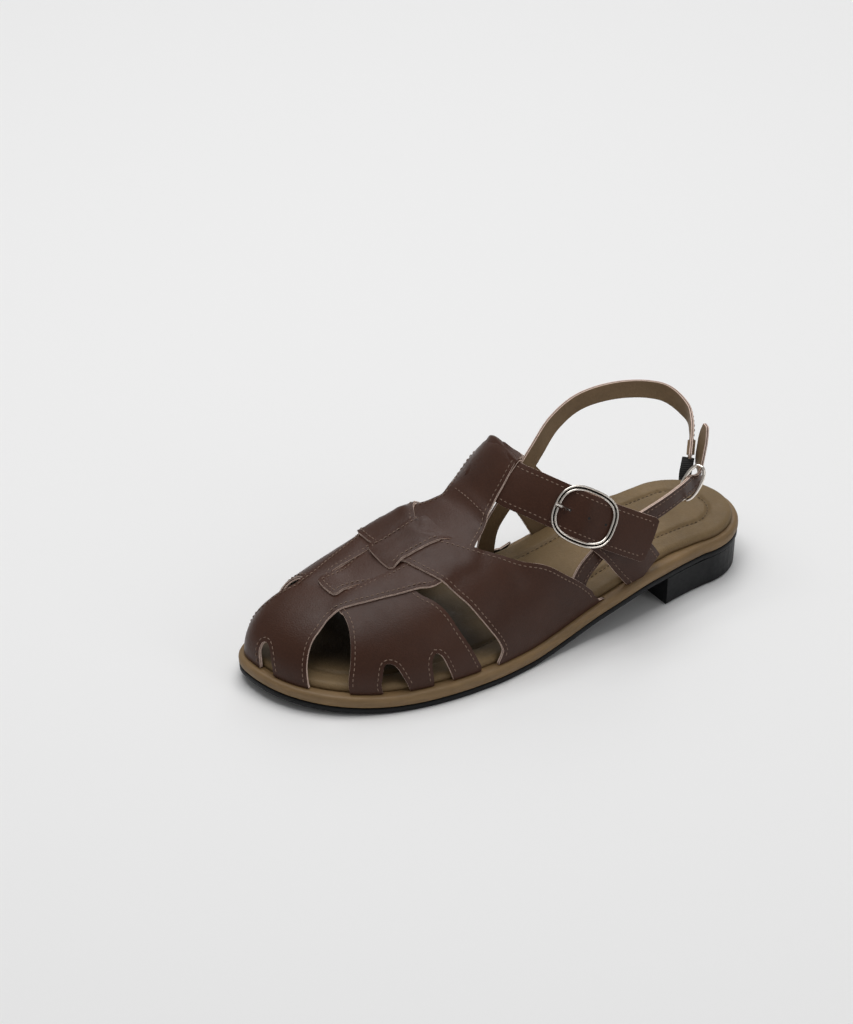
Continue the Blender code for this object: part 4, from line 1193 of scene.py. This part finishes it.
def rounded_box(wide, high, radius, turns=7, sides=9):
    """Rectangle with round corners as (width, outward) points: a quarter turn at each corner, then a side."""
    points = []
    signs = np.array([(1, 1), (-1, 1), (-1, -1), (1, -1)])
    corners = signs * (wide - radius, high - radius)
    side = np.linspace(0, 1, sides)[1:-1, None]
    for k in range(4):
        a = np.linspace(0, math.pi / 2, turns) + k * math.pi / 2
        points.append(corners[k] + radius * np.stack([np.cos(a), np.sin(a)], -1))
        points.append(points[-1][-1] + (corners[(k + 1) % 4] - corners[k]) * side)
    return np.concatenate(points)


def build_loop():
    """Folded end of the middle strap, a sleeve round the instep strap with a rounded section."""
    centre, wide, out, _ = frames(strap_rows(), STRAP_STEP)
    pick = (centre[:, 0] > LOOP_FROM * BALL_WIDTH) & (centre[:, 0] < LOOP_TO * BALL_WIDTH)
    pick &= centre[:, 1] < float(y_at(STRAP_CROWN[0][1] - LOOP_REACH))
    w, t = STRAP_WIDTH / 2 + GAP, STRAP_THICK / 2 + GAP
    outer = rounded_box(w + LOOP_WALL, t + LOOP_WALL, LOOP_CORNER)
    inner = rounded_box(w, t, LOOP_CORNER_INSIDE)
    materials = [MADE["leather"], MADE["raw"], MADE["lining"]]
    keep(sleeve("strap_loop", centre[pick], wide[pick], out[pick], outer, inner, materials), "brown_leather")


def powered(x, power):
    """Power of the size of x, with the sign of x."""
    return np.sign(x) * np.abs(x) ** power


def build_straps():
    """Instep strap, buckle strap, both slings and the elastic, with their stitches."""
    size = sizes()
    lines = []

    def narrowing(start, by):
        """Taper that narrows by a share, as the square of the way from start to the end."""
        return lambda t: np.where(t > start, 1 - by * ((t - start) / (1 - start)) ** 2, 1.0)

    instep = {"taper": narrowing(0.985, 0.10), "crown": 0.0006, "swell": placed([BUCKLE_AT])[0]}
    strap, sling = (STRAP_WIDTH, STRAP_THICK), (SLING_WIDTH, SLING_THICK)
    for name, node, rows, measures, options, inset, ends in (
        ("instep_strap_leather", "instep_strap", strap_rows(), strap, instep, STRAP_STITCH, (0.02, 0.985)),
        ("buckle_strap_leather", "buckle_strap", foot(BUCKLE_STRAP_FOOT, BUCKLE_STRAP, STRAP_INSET),
         strap, {"crown": 0.0002, "face": -1}, STRAP_STITCH - 0.0001, (0.0, 1.0)),
        ("sling_inner_leather", "sling_strap_inner", foot(SLING_INNER_FOOT, SLING_INNER, SLING_INSET),
         sling, {"crown": 0.0001}, SLING_STITCH, (0.0, 1.0)),
        ("sling_outer_leather", "sling_strap_outer", foot(SLING_OUTER_FOOT, SLING_OUTER, SLING_INSET, -1),
         sling, {"crown": 0.0001, "taper": narrowing(0.93, 0.55)}, SLING_STITCH, (0.0, 0.92)),
    ):
        obj, path = strap_sheet(name, rows, *measures, **options)
        keep(obj, "brown_leather", node)
        lift = measures[1] / 2 + (STRAP_STITCH_LIFT if measures is strap else SLING_STITCH_LIFT)
        lines += side_stitches(path, inset, lift, ends)
        if options is instep:
            centre, wide, out, half = path
            end = int(len(centre) * 0.983)
            across = np.linspace(-1, 1, 20)[:, None]
            line = centre[end] + wide[end] * across * (half[end] - inset) + out[end] * lift
            lines.append(stitch_line(line, np.repeat(out[end][None], 20, axis=0), size))
    keep(threads("strap_stitches", lines, size, MADE["thread"]), "brown_leather")

    tab = np.array(SLING_INNER[-2:]) - TAB_SHIFT
    tab[:, 3:] = TAB_WIDE
    rows = placed([tab[0], tab.mean(axis=0), tab[1]])
    obj, _ = strap_sheet("sling_lining_tab", rows, TAB_WIDTH, TAB_THICK)
    obj.data.materials[0] = MADE["lining"]
    keep(obj, "tan_lining")

    centre, wide, out, _ = frames(placed(ELASTIC), ELASTIC_STEP)
    turn = np.linspace(0, 2 * math.pi, 28, endpoint=False)
    section = np.stack([powered(np.cos(turn), 0.35), powered(np.sin(turn), 0.8)], -1)
    section = section * (ELASTIC_WIDTH / 2, SLING_THICK / 2)
    keep(tube("elastic_band", centre, wide, out, section, MADE["elastic"]), "black_elastic", "sling_elastic")


def tube(name, centre, wide, out, section, made, closed=False):
    """Bar of a section of (width, outward) points carried along a path, with flat ends where it is open."""
    grid = carried(centre, wide, out, section)
    n, m = grid.shape[:2]
    index = np.arange(n * m).reshape(n, m)
    if closed:
        faces = [bands(index, np.roll(index, -1, axis=0))]
    else:
        faces = [bands(index[:-1], index[1:]), index[0][None, ::-1], index[-1][None]]
    points = grid.reshape(-1, 3)
    x, y, z = (points[faces[0][:, k]] for k in range(3))
    middle = np.repeat(centre, m, axis=0)[faces[0][:, 0]]
    if (np.cross(y - x, z - x) * (x - middle)).sum() < 0:
        faces = [f[:, ::-1] for f in faces]
    return make_mesh(name, points, faces, materials=[made])


def round_frame(length, width, power, count):
    """Rounded rectangle as a superellipse, evenly along its line."""
    turn = np.linspace(0, 2 * math.pi, 2000, endpoint=False)
    line = np.stack([powered(np.cos(turn), 2 / power), powered(np.sin(turn), 2 / power)], -1)
    line = line * (length / 2, width / 2)
    line = np.concatenate([line, line[:1]])
    run = run_of(line)
    return sampled(line, run, np.linspace(0, run[-1], count, endpoint=False))


# Section of the instep buckle's frame: two bevelled rings with a groove between them, as
# millimetres outward in the frame's plane and up.
BUCKLE_SECTION = [
    # outward, up, material of the side that starts here: 0 metal, 1 painted shade in the groove
    (1.35, -0.80, 0), (1.55, 0.00, 0), (1.42, 0.52, 0), (1.12, 0.84, 0), (0.80, 0.72, 0), (0.62, 0.30, 1),
    (0.55, -0.35, 1), (0.10, -0.35, 1), (0.00, 0.30, 0), (-0.22, 0.76, 0), (-0.60, 0.92, 0), (-0.98, 0.58, 0),
    (-1.20, 0.00, 0), (-1.10, -0.60, 0), (-0.80, -0.80, 0), (0.40, -0.85, 0),
]
# Section of an eyelet from its rim to its middle, in metres.
EYELET = [
    # radius, height
    (0.0014, 0.00018), (0.0011, 0.00030), (0.0008, 0.00030),
    (0.0006, 0.00020), (0.0004, 0.00018), (0.0001, 0.00018),
]
EYELETS = (-PIN_HOLE, 0.0018, 0.0018 + 1.25 * PIN_HOLE)


def metal(name, node, centre, wide, out, section, closed=False):
    """Metal bar that stands for a node; its directions may be single ones."""
    wide, out = (np.broadcast_to(way, centre.shape) for way in (wide, out))
    return keep(tube(name, centre, wide, out, section, MADE["metal"], closed), "silver_metal", node)


def build_buckles():
    """Frame, bar and pin of the instep buckle, the sling's ring and its prong."""
    centre, wide, out, run = frames(strap_rows(), BUCKLE_STEP)
    at = int(np.argmin(np.linalg.norm(centre - placed([BUCKLE_AT])[0], axis=1)))
    length = BUCKLE_LENGTH - BUCKLE_WIRE
    place = round_frame(length, BUCKLE_WIDTH - BUCKLE_WIRE, 2.7, 160)
    step = np.linalg.norm(centre[at + 1] - centre[at])
    i = np.clip(at + place[:, 0] / step, 0, len(centre) - 2)
    low = i.astype(int)
    f = (i - low)[:, None]
    here, w, o = (rows[low] * (1 - f) + rows[low + 1] * f for rows in (centre, wide, out))
    ends = (2 * place[:, 0] / length) ** 2
    lift = (STRAP_THICK / 2 + GAP + BUCKLE_WIRE / 2) * np.minimum(1.0, ends * 1.25 + 0.15)
    line = here + unit(w) * place[:, 1][:, None] + unit(o) * lift[:, None]
    way = around(line)
    side = unit(np.cross(way, np.broadcast_to(unit(out[at]), line.shape)))
    if ((line - line.mean(axis=0)) * side).sum() < 0:
        side = -side
    up = unit(np.cross(side, way))
    if (up @ out[at]).mean() < 0:
        up = -up
    section = [(a / 1000, b / 1000) for a, b, _ in BUCKLE_SECTION]
    obj = metal("instep_buckle", "instep_buckle_frame", line, side, up, section, closed=True)
    # The groove between the frame's two rings gets the near black material: painted shade.
    obj.data.materials.append(MADE["dark"])
    kinds = np.tile([kind for *_, kind in BUCKLE_SECTION], len(line))
    obj.data.polygons.foreach_set("material_index", kinds.astype(np.int32))

    turn = np.linspace(0, 2 * math.pi, 16, endpoint=False)
    circle = np.stack([np.cos(turn), np.sin(turn)], -1)
    reach = BUCKLE_WIDTH / 2 - BAR_END
    t = np.linspace(-reach, reach, 20)[:, None]
    bar = centre[at] + wide[at] * t - out[at] * (STRAP_THICK / 2 + BAR_DEPTH)
    metal("instep_buckle_middle_bar", "instep_buckle_bar", bar, run[at], out[at], BAR_RADIUS * circle)

    t = np.linspace(-PIN_HOLE, -(BUCKLE_LENGTH / 2 - 0.0006), 30)
    index = np.clip((at + t / step).astype(int), 0, len(centre) - 1)
    share = np.linspace(0, 1, 30)
    rise = STRAP_THICK / 2 + 0.0002 + PIN_RISE * smooth(share * 1.6)
    pin = centre[index] + out[index] * rise[:, None]
    section = (PIN_RADIUS + PIN_SPREAD * share)[:, None, None] * circle
    metal("instep_buckle_prong", "instep_buckle_pin", pin, wide[index], out[index], section)

    grids = []
    for t in EYELETS:
        i = int(at + t / step)
        a = np.linspace(0, 2 * math.pi, 20, endpoint=False)[None, :, None]
        r, h = np.array(EYELET).T[:, :, None, None]
        h = STRAP_THICK / 2 + h + STRAP_SWELL * math.exp(-((t / SWELL_REACH) ** 2)) + 0.0005
        grids.append(centre[i] + out[i] * h + (run[i] * np.cos(a) + wide[i] * np.sin(a)) * r)
    # The eyelets' middles are painted shade where the holes go through the strap.
    keep(eyelets("strap_holes", grids, MADE["leather"], MADE["dark"]), "brown_leather")

    up, side = np.array(RING_UP), unit(np.array(RING_SIDE))
    front = np.cross(side, up)
    place = round_frame(RING_LENGTH - RING_WIRE, RING_WIDTH - RING_WIRE, 2.3, 90)
    middle = placed([RING_AT])[0] + unit(np.array(RING_OFF)) * RING_SHIFT
    line = middle + place[:, :1] * up + place[:, 1:] * side
    outward = unit(np.cross(around(line), front[None]))
    metal("sling_buckle_ring", "sling_ring", line, outward, front, circle * (0.0008, 0.00085), closed=True)
    base = middle - up * (RING_LENGTH - RING_WIRE) / 2 + front * (RING_WIRE * 0.8 + GAP)
    steps = ((-0.4, 0.2), (0.1, 0.5), (0.6, 0.9))
    prong = curve([base + (up * a + side * b) * RING_WIRE for a, b in steps], 16)
    metal("sling_buckle_prong", "sling_ring_prong", prong, side, front, PRONG_RADIUS * circle)


def eyelets(name, grids, made, dark):
    """Small round eyelets from rings of points that close in to a middle of painted shade, where the hole
    goes through.
    """
    n, m = grids[0].shape[:2]
    index = np.arange(len(grids) * n * m).reshape(-1, n, m)
    faces = [bands(part[1:], part[:-1]) for part in index]
    kinds = [np.repeat((np.arange(n - 1) > 2).astype(int), m)] * len(grids)
    points = np.concatenate([grid.reshape(-1, 3) for grid in grids])
    return make_mesh(name, points, faces, kinds, [made, dark])


def sole_ring(count_side=60, count_round=40):
    """Sole outline from above, counter-clockwise from the heel's outer side, and the inward direction."""
    ys = np.linspace(HEEL_BACK_Y - HEEL_WIDTH / 2, TOE_CENTRE_Y, count_side)
    outer = np.stack([half_width(ys, 1), ys], -1)[::-1]
    inner = np.stack([-half_width(ys, -1), ys], -1)
    turn = np.linspace(math.pi / 2, -math.pi / 2, count_round * 2 + 1)[1:-1]
    dx, dy = np.sin(turn), np.cos(turn)
    reach = toe_radius(dx, dy, 0.0)
    toe = np.stack([ridge_x(TOE_CENTRE_Y) + dx * reach, TOE_CENTRE_Y - dy * reach], -1)
    turn = np.linspace(0, math.pi, count_round * 2 - 3)[1:-1]
    heel = np.stack([np.cos(turn) * HEEL_WIDTH / 2, ys[0] + np.sin(turn) * HEEL_WIDTH / 2], -1)
    loop = np.concatenate([outer, heel, inner, toe[::-1]])
    tangent = around(loop)
    return loop, np.stack([-tangent[:, 1], tangent[:, 0]], -1)


def layer(name, rows, made, start=None, top=None, fill=14):
    """Closed layer of the sole: outline rows of inset and height, then filled in towards its middle line.

    The insets count from start(y), and top adds a relief. A point of the fill lies a share w of the
    way from the middle line to the edge.
    """
    loop, inward = sole_ring()
    n = len(loop)
    rings = []
    for inset, height in rows:
        width = inset + (start(loop[:, 1]) if start else np.zeros(n))
        plan = loop + inward * width[:, None]
        rings.append(np.concatenate([plan, (under(plan[:, 1]) + height)[:, None]], axis=1))
    spine_y = np.clip(loop[:, 1], TOE_CENTRE_Y + SPINE_END, HEEL_BACK_Y - HEEL_WIDTH / 2)
    spine = np.stack([(half_width(spine_y, 1) - half_width(spine_y, -1)) / 2, spine_y], -1)

    def inside(edge, height, relief):
        out = []
        for share in np.linspace(1, 0, fill)[1:]:
            plan = spine + (edge[:, :2] - spine) * share
            far = np.linalg.norm(edge[:, :2] - plan, axis=1)
            z = under(plan[:, 1]) + height + (relief(far, plan) if relief else 0)
            out.append(np.concatenate([plan, z[:, None]], axis=1))
        return out

    above, below = inside(rings[-1], rows[-1][1], top), inside(rings[0], rows[0][1], None)
    stack = np.stack(below[::-1] + rings + above)
    points = stack.reshape(-1, 3)
    index = np.arange(len(points)).reshape(-1, n)
    quads = bands(index[1:], index[:-1])
    _, at, back = np.unique(np.round(points, 7), axis=0, return_index=True, return_inverse=True)
    points, quads = points[at], back.reshape(-1)[quads]
    same = quads == np.roll(quads, -1, axis=1)
    pinched = same.sum(axis=1) == 1
    tris = quads[pinched][~same[pinched]].reshape(-1, 3)
    return make_mesh(name, points, [quads[~same.any(axis=1)], tris], materials=[made])


def seat(y):
    """Inset of the insole: inside the upper's wall, and out to the edge round the heel."""
    wall = EDGE_INSET + STRAP_THICK + 2 * GAP
    back = np.clip((np.asarray(y) - y_at(SEAT_FROM)) / (y_at(SEAT_TO) - y_at(SEAT_FROM)), 0, 1)
    return wall + (EDGE_INSET - wall) * back


def padding(far, plan):
    """Crown of the pad, a sewn groove along its edge, and small gathers across the groove."""
    crown = PAD_CROWN * (1 - np.exp(-far / PAD_REACH))
    groove = np.exp(-(((far - GROOVE_AT) / 0.0011) ** 2))
    ripple = 0.5 + 0.5 * np.cos((plan[:, 0] * 0.6 + plan[:, 1]) * 2 * math.pi / GATHER_PITCH)
    gathers = np.exp(-(((far - GROOVE_AT) / 0.0030) ** 2)) * ripple
    return crown - GROOVE_DEPTH * groove - GATHER_DEPTH * gathers


def build_sole():
    """Outsole, heel block, tan band and padded insole."""
    low = OUTSOLE_THICK
    rows = [(0.0014, 0), (0.0005, 0.0001), (0.0001, 0.0005), (0, 0.0011), (0, low - 0.0004), (0.0003, low)]
    keep(layer("outsole_rubber", rows, MADE["rubber"]), "black_rubber", "outsole")
    low += GAP
    keep(layer("tan_edge_band", [(inset, low + height) for inset, height in BAND_ROWS], MADE["band"]),
         "tan_band", "midsole")
    low += BAND_THICK + GAP
    high = low + INSOLE_THICK + GAP
    rows = [(0, low), (0, low + 0.0010), (0.0002, low + 0.0018), (0.0007, low + 0.0025)]
    rows += [(0.0015, high - 0.0002), (PAD_ROUND, high)]
    pad = keep(layer("padded_insole", rows, MADE["insole"], seat, padding, 60), "tan_lining", "insole")
    x, y, _ = np.array([v.co for v in pad.data.vertices]).T
    side = np.where(x > 0, half_width(y, 1) - x, half_width(y, -1) + x)
    depth = np.where(y < TOE_CENTRE_Y, (1 - edge_share(x, y)) * BALL_WIDTH / 2, side)
    # Painted shade on the insole deep inside the toe under the upper, kept in the attribute cover.
    shade_mask = smooth((depth - SHADE_INSET) / SHADE_BLEND) * smooth((along(y) - SHADE_FROM) / SHADE_LENGTH)
    values = pad.data.attributes.new("cover", "FLOAT", "POINT")
    values.data.foreach_set("value", shade_mask.astype(np.float32))
    loop, inward = sole_ring()
    plan = loop + inward * (seat(loop[:, 1]) + PAD_ROUND + GROOVE_AT)[:, None]
    height = under(plan[:, 1]) + high + PAD_CROWN * (1 - math.exp(-GROOVE_AT / PAD_REACH)) - GROOVE_DEPTH
    line = np.concatenate([plan, height[:, None]], axis=1)
    up = np.array([0.0, 0.0, 1.0])
    lines = [stitch_line(line[run], np.tile(up, (len(run), 1)), sizes())
             for run in split_runs(loop[:, 1] > TOE_CENTRE_Y)]
    keep(threads("insole_stitches", lines, sizes(), MADE["insole_thread"]), "tan_lining")
    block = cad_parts["heel"]
    block.data.materials.clear()
    block.data.materials.append(MADE["rubber"])


def aimed(obj, place, target):
    """Puts a lamp or the camera at a place, turned to its target, and into the scene."""
    obj.location = place
    obj.rotation_euler = (Vector(target) - Vector(place)).to_track_quat("-Z", "Y").to_euler()
    bpy.context.scene.collection.objects.link(obj)


def build_stage():
    """Pale floor, soft lights and the camera at the photograph's angle."""
    made, _, shader, _ = new_material("floor")
    put(shader, {"Base Color": (*colours().floor, 1.0), "Roughness": 0.9, "Specular IOR Level": 0.1})
    grid = np.linspace(-FLOOR_HALF, FLOOR_HALF, 9)
    x, y = np.meshgrid(grid, grid, indexing="ij")
    points = np.stack([x.ravel(), y.ravel(), np.zeros(x.size)], -1)
    floor = make_mesh("studio_floor", points, [sheet(*x.shape)], materials=[made])
    scene = bpy.context.scene
    world = scene.world or bpy.data.worlds.new("studio")
    scene.world = world
    world.use_nodes = True
    back = world.node_tree.nodes["Background"]
    put(back, {"Color": (1.0, 1.0, 1.0, 1.0), "Strength": WORLD_LIGHT})
    for name, place, size, power in LIGHTS:
        lamp = bpy.data.lights.new(name, "AREA")
        lamp.shape = "RECTANGLE"
        lamp.size, lamp.size_y = size
        lamp.energy = power
        aimed(bpy.data.objects.new(name, lamp), place, LIGHTS_AT)
    lens = bpy.data.cameras.new("camera")
    lens.lens = CAMERA_LENS
    lens.sensor_width = 36.0
    camera = bpy.data.objects.new("camera", lens)
    aimed(camera, CAMERA_FROM, CAMERA_AT)
    scene.camera = camera
    scene.view_settings.view_transform = "Standard"


class SANDAL_OT_materials(bpy.types.Operator):
    """Make the leather, rubber, metal and thread."""

    bl_idname = "sandal.materials"
    bl_label = "Materials"

    def execute(self, context):
        make_materials()
        return {"FINISHED"}


class SANDAL_OT_sole(bpy.types.Operator):
    """Build the outsole, the heel, the tan band and the padded insole."""

    bl_idname = "sandal.sole"
    bl_label = "Sole"

    def execute(self, context):
        build_sole()
        return {"FINISHED"}


class SANDAL_OT_upper(bpy.types.Operator):
    """Weave the straps of the upper with their stitches."""

    bl_idname = "sandal.upper"
    bl_label = "Upper"

    def execute(self, context):
        build_upper()
        build_loop()
        return {"FINISHED"}


class SANDAL_OT_straps(bpy.types.Operator):
    """Build the instep strap, the buckle strap and the slings."""

    bl_idname = "sandal.straps"
    bl_label = "Straps"

    def execute(self, context):
        build_straps()
        return {"FINISHED"}


class SANDAL_OT_buckles(bpy.types.Operator):
    """Build the instep buckle and the sling's ring."""

    bl_idname = "sandal.buckles"
    bl_label = "Buckles"

    def execute(self, context):
        build_buckles()
        return {"FINISHED"}


class SANDAL_OT_stage(bpy.types.Operator):
    """Set the floor, the lights and the camera."""

    bl_idname = "sandal.stage"
    bl_label = "Stage"

    def execute(self, context):
        build_stage()
        return {"FINISHED"}


OPERATORS = [
    SANDAL_OT_materials, SANDAL_OT_sole, SANDAL_OT_upper, SANDAL_OT_straps, SANDAL_OT_buckles, SANDAL_OT_stage
]


class SANDAL_PT_panel(bpy.types.Panel):
    """Lists the sandal's sizes, colours and pieces."""

    bl_label = "Sandal"
    bl_idname = "SANDAL_PT_panel"
    bl_space_type = "VIEW_3D"
    bl_region_type = "UI"
    bl_category = "Sandal"

    def draw(self, context):
        for group in (context.scene.sandal_sizes, context.scene.sandal_colours):
            for name in group.__annotations__:
                self.layout.prop(group, name)
        for operator in OPERATORS:
            self.layout.operator(operator.bl_idname)


CLASSES = [SandalSizes, SandalColours, *OPERATORS, SANDAL_PT_panel]


def register():
    for made in CLASSES:
        bpy.utils.register_class(made)
    bpy.types.Scene.sandal_sizes = bpy.props.PointerProperty(type=SandalSizes)
    bpy.types.Scene.sandal_colours = bpy.props.PointerProperty(type=SandalColours)


def unregister():
    del bpy.types.Scene.sandal_sizes
    del bpy.types.Scene.sandal_colours
    for made in reversed(CLASSES):
        bpy.utils.unregister_class(made)


def main():
    register()
    bpy.ops.sandal.materials()
    bpy.ops.sandal.sole()
    bpy.ops.sandal.upper()
    bpy.ops.sandal.straps()
    bpy.ops.sandal.buckles()
    bpy.ops.sandal.stage()


if __name__ == "__main__":
    main()
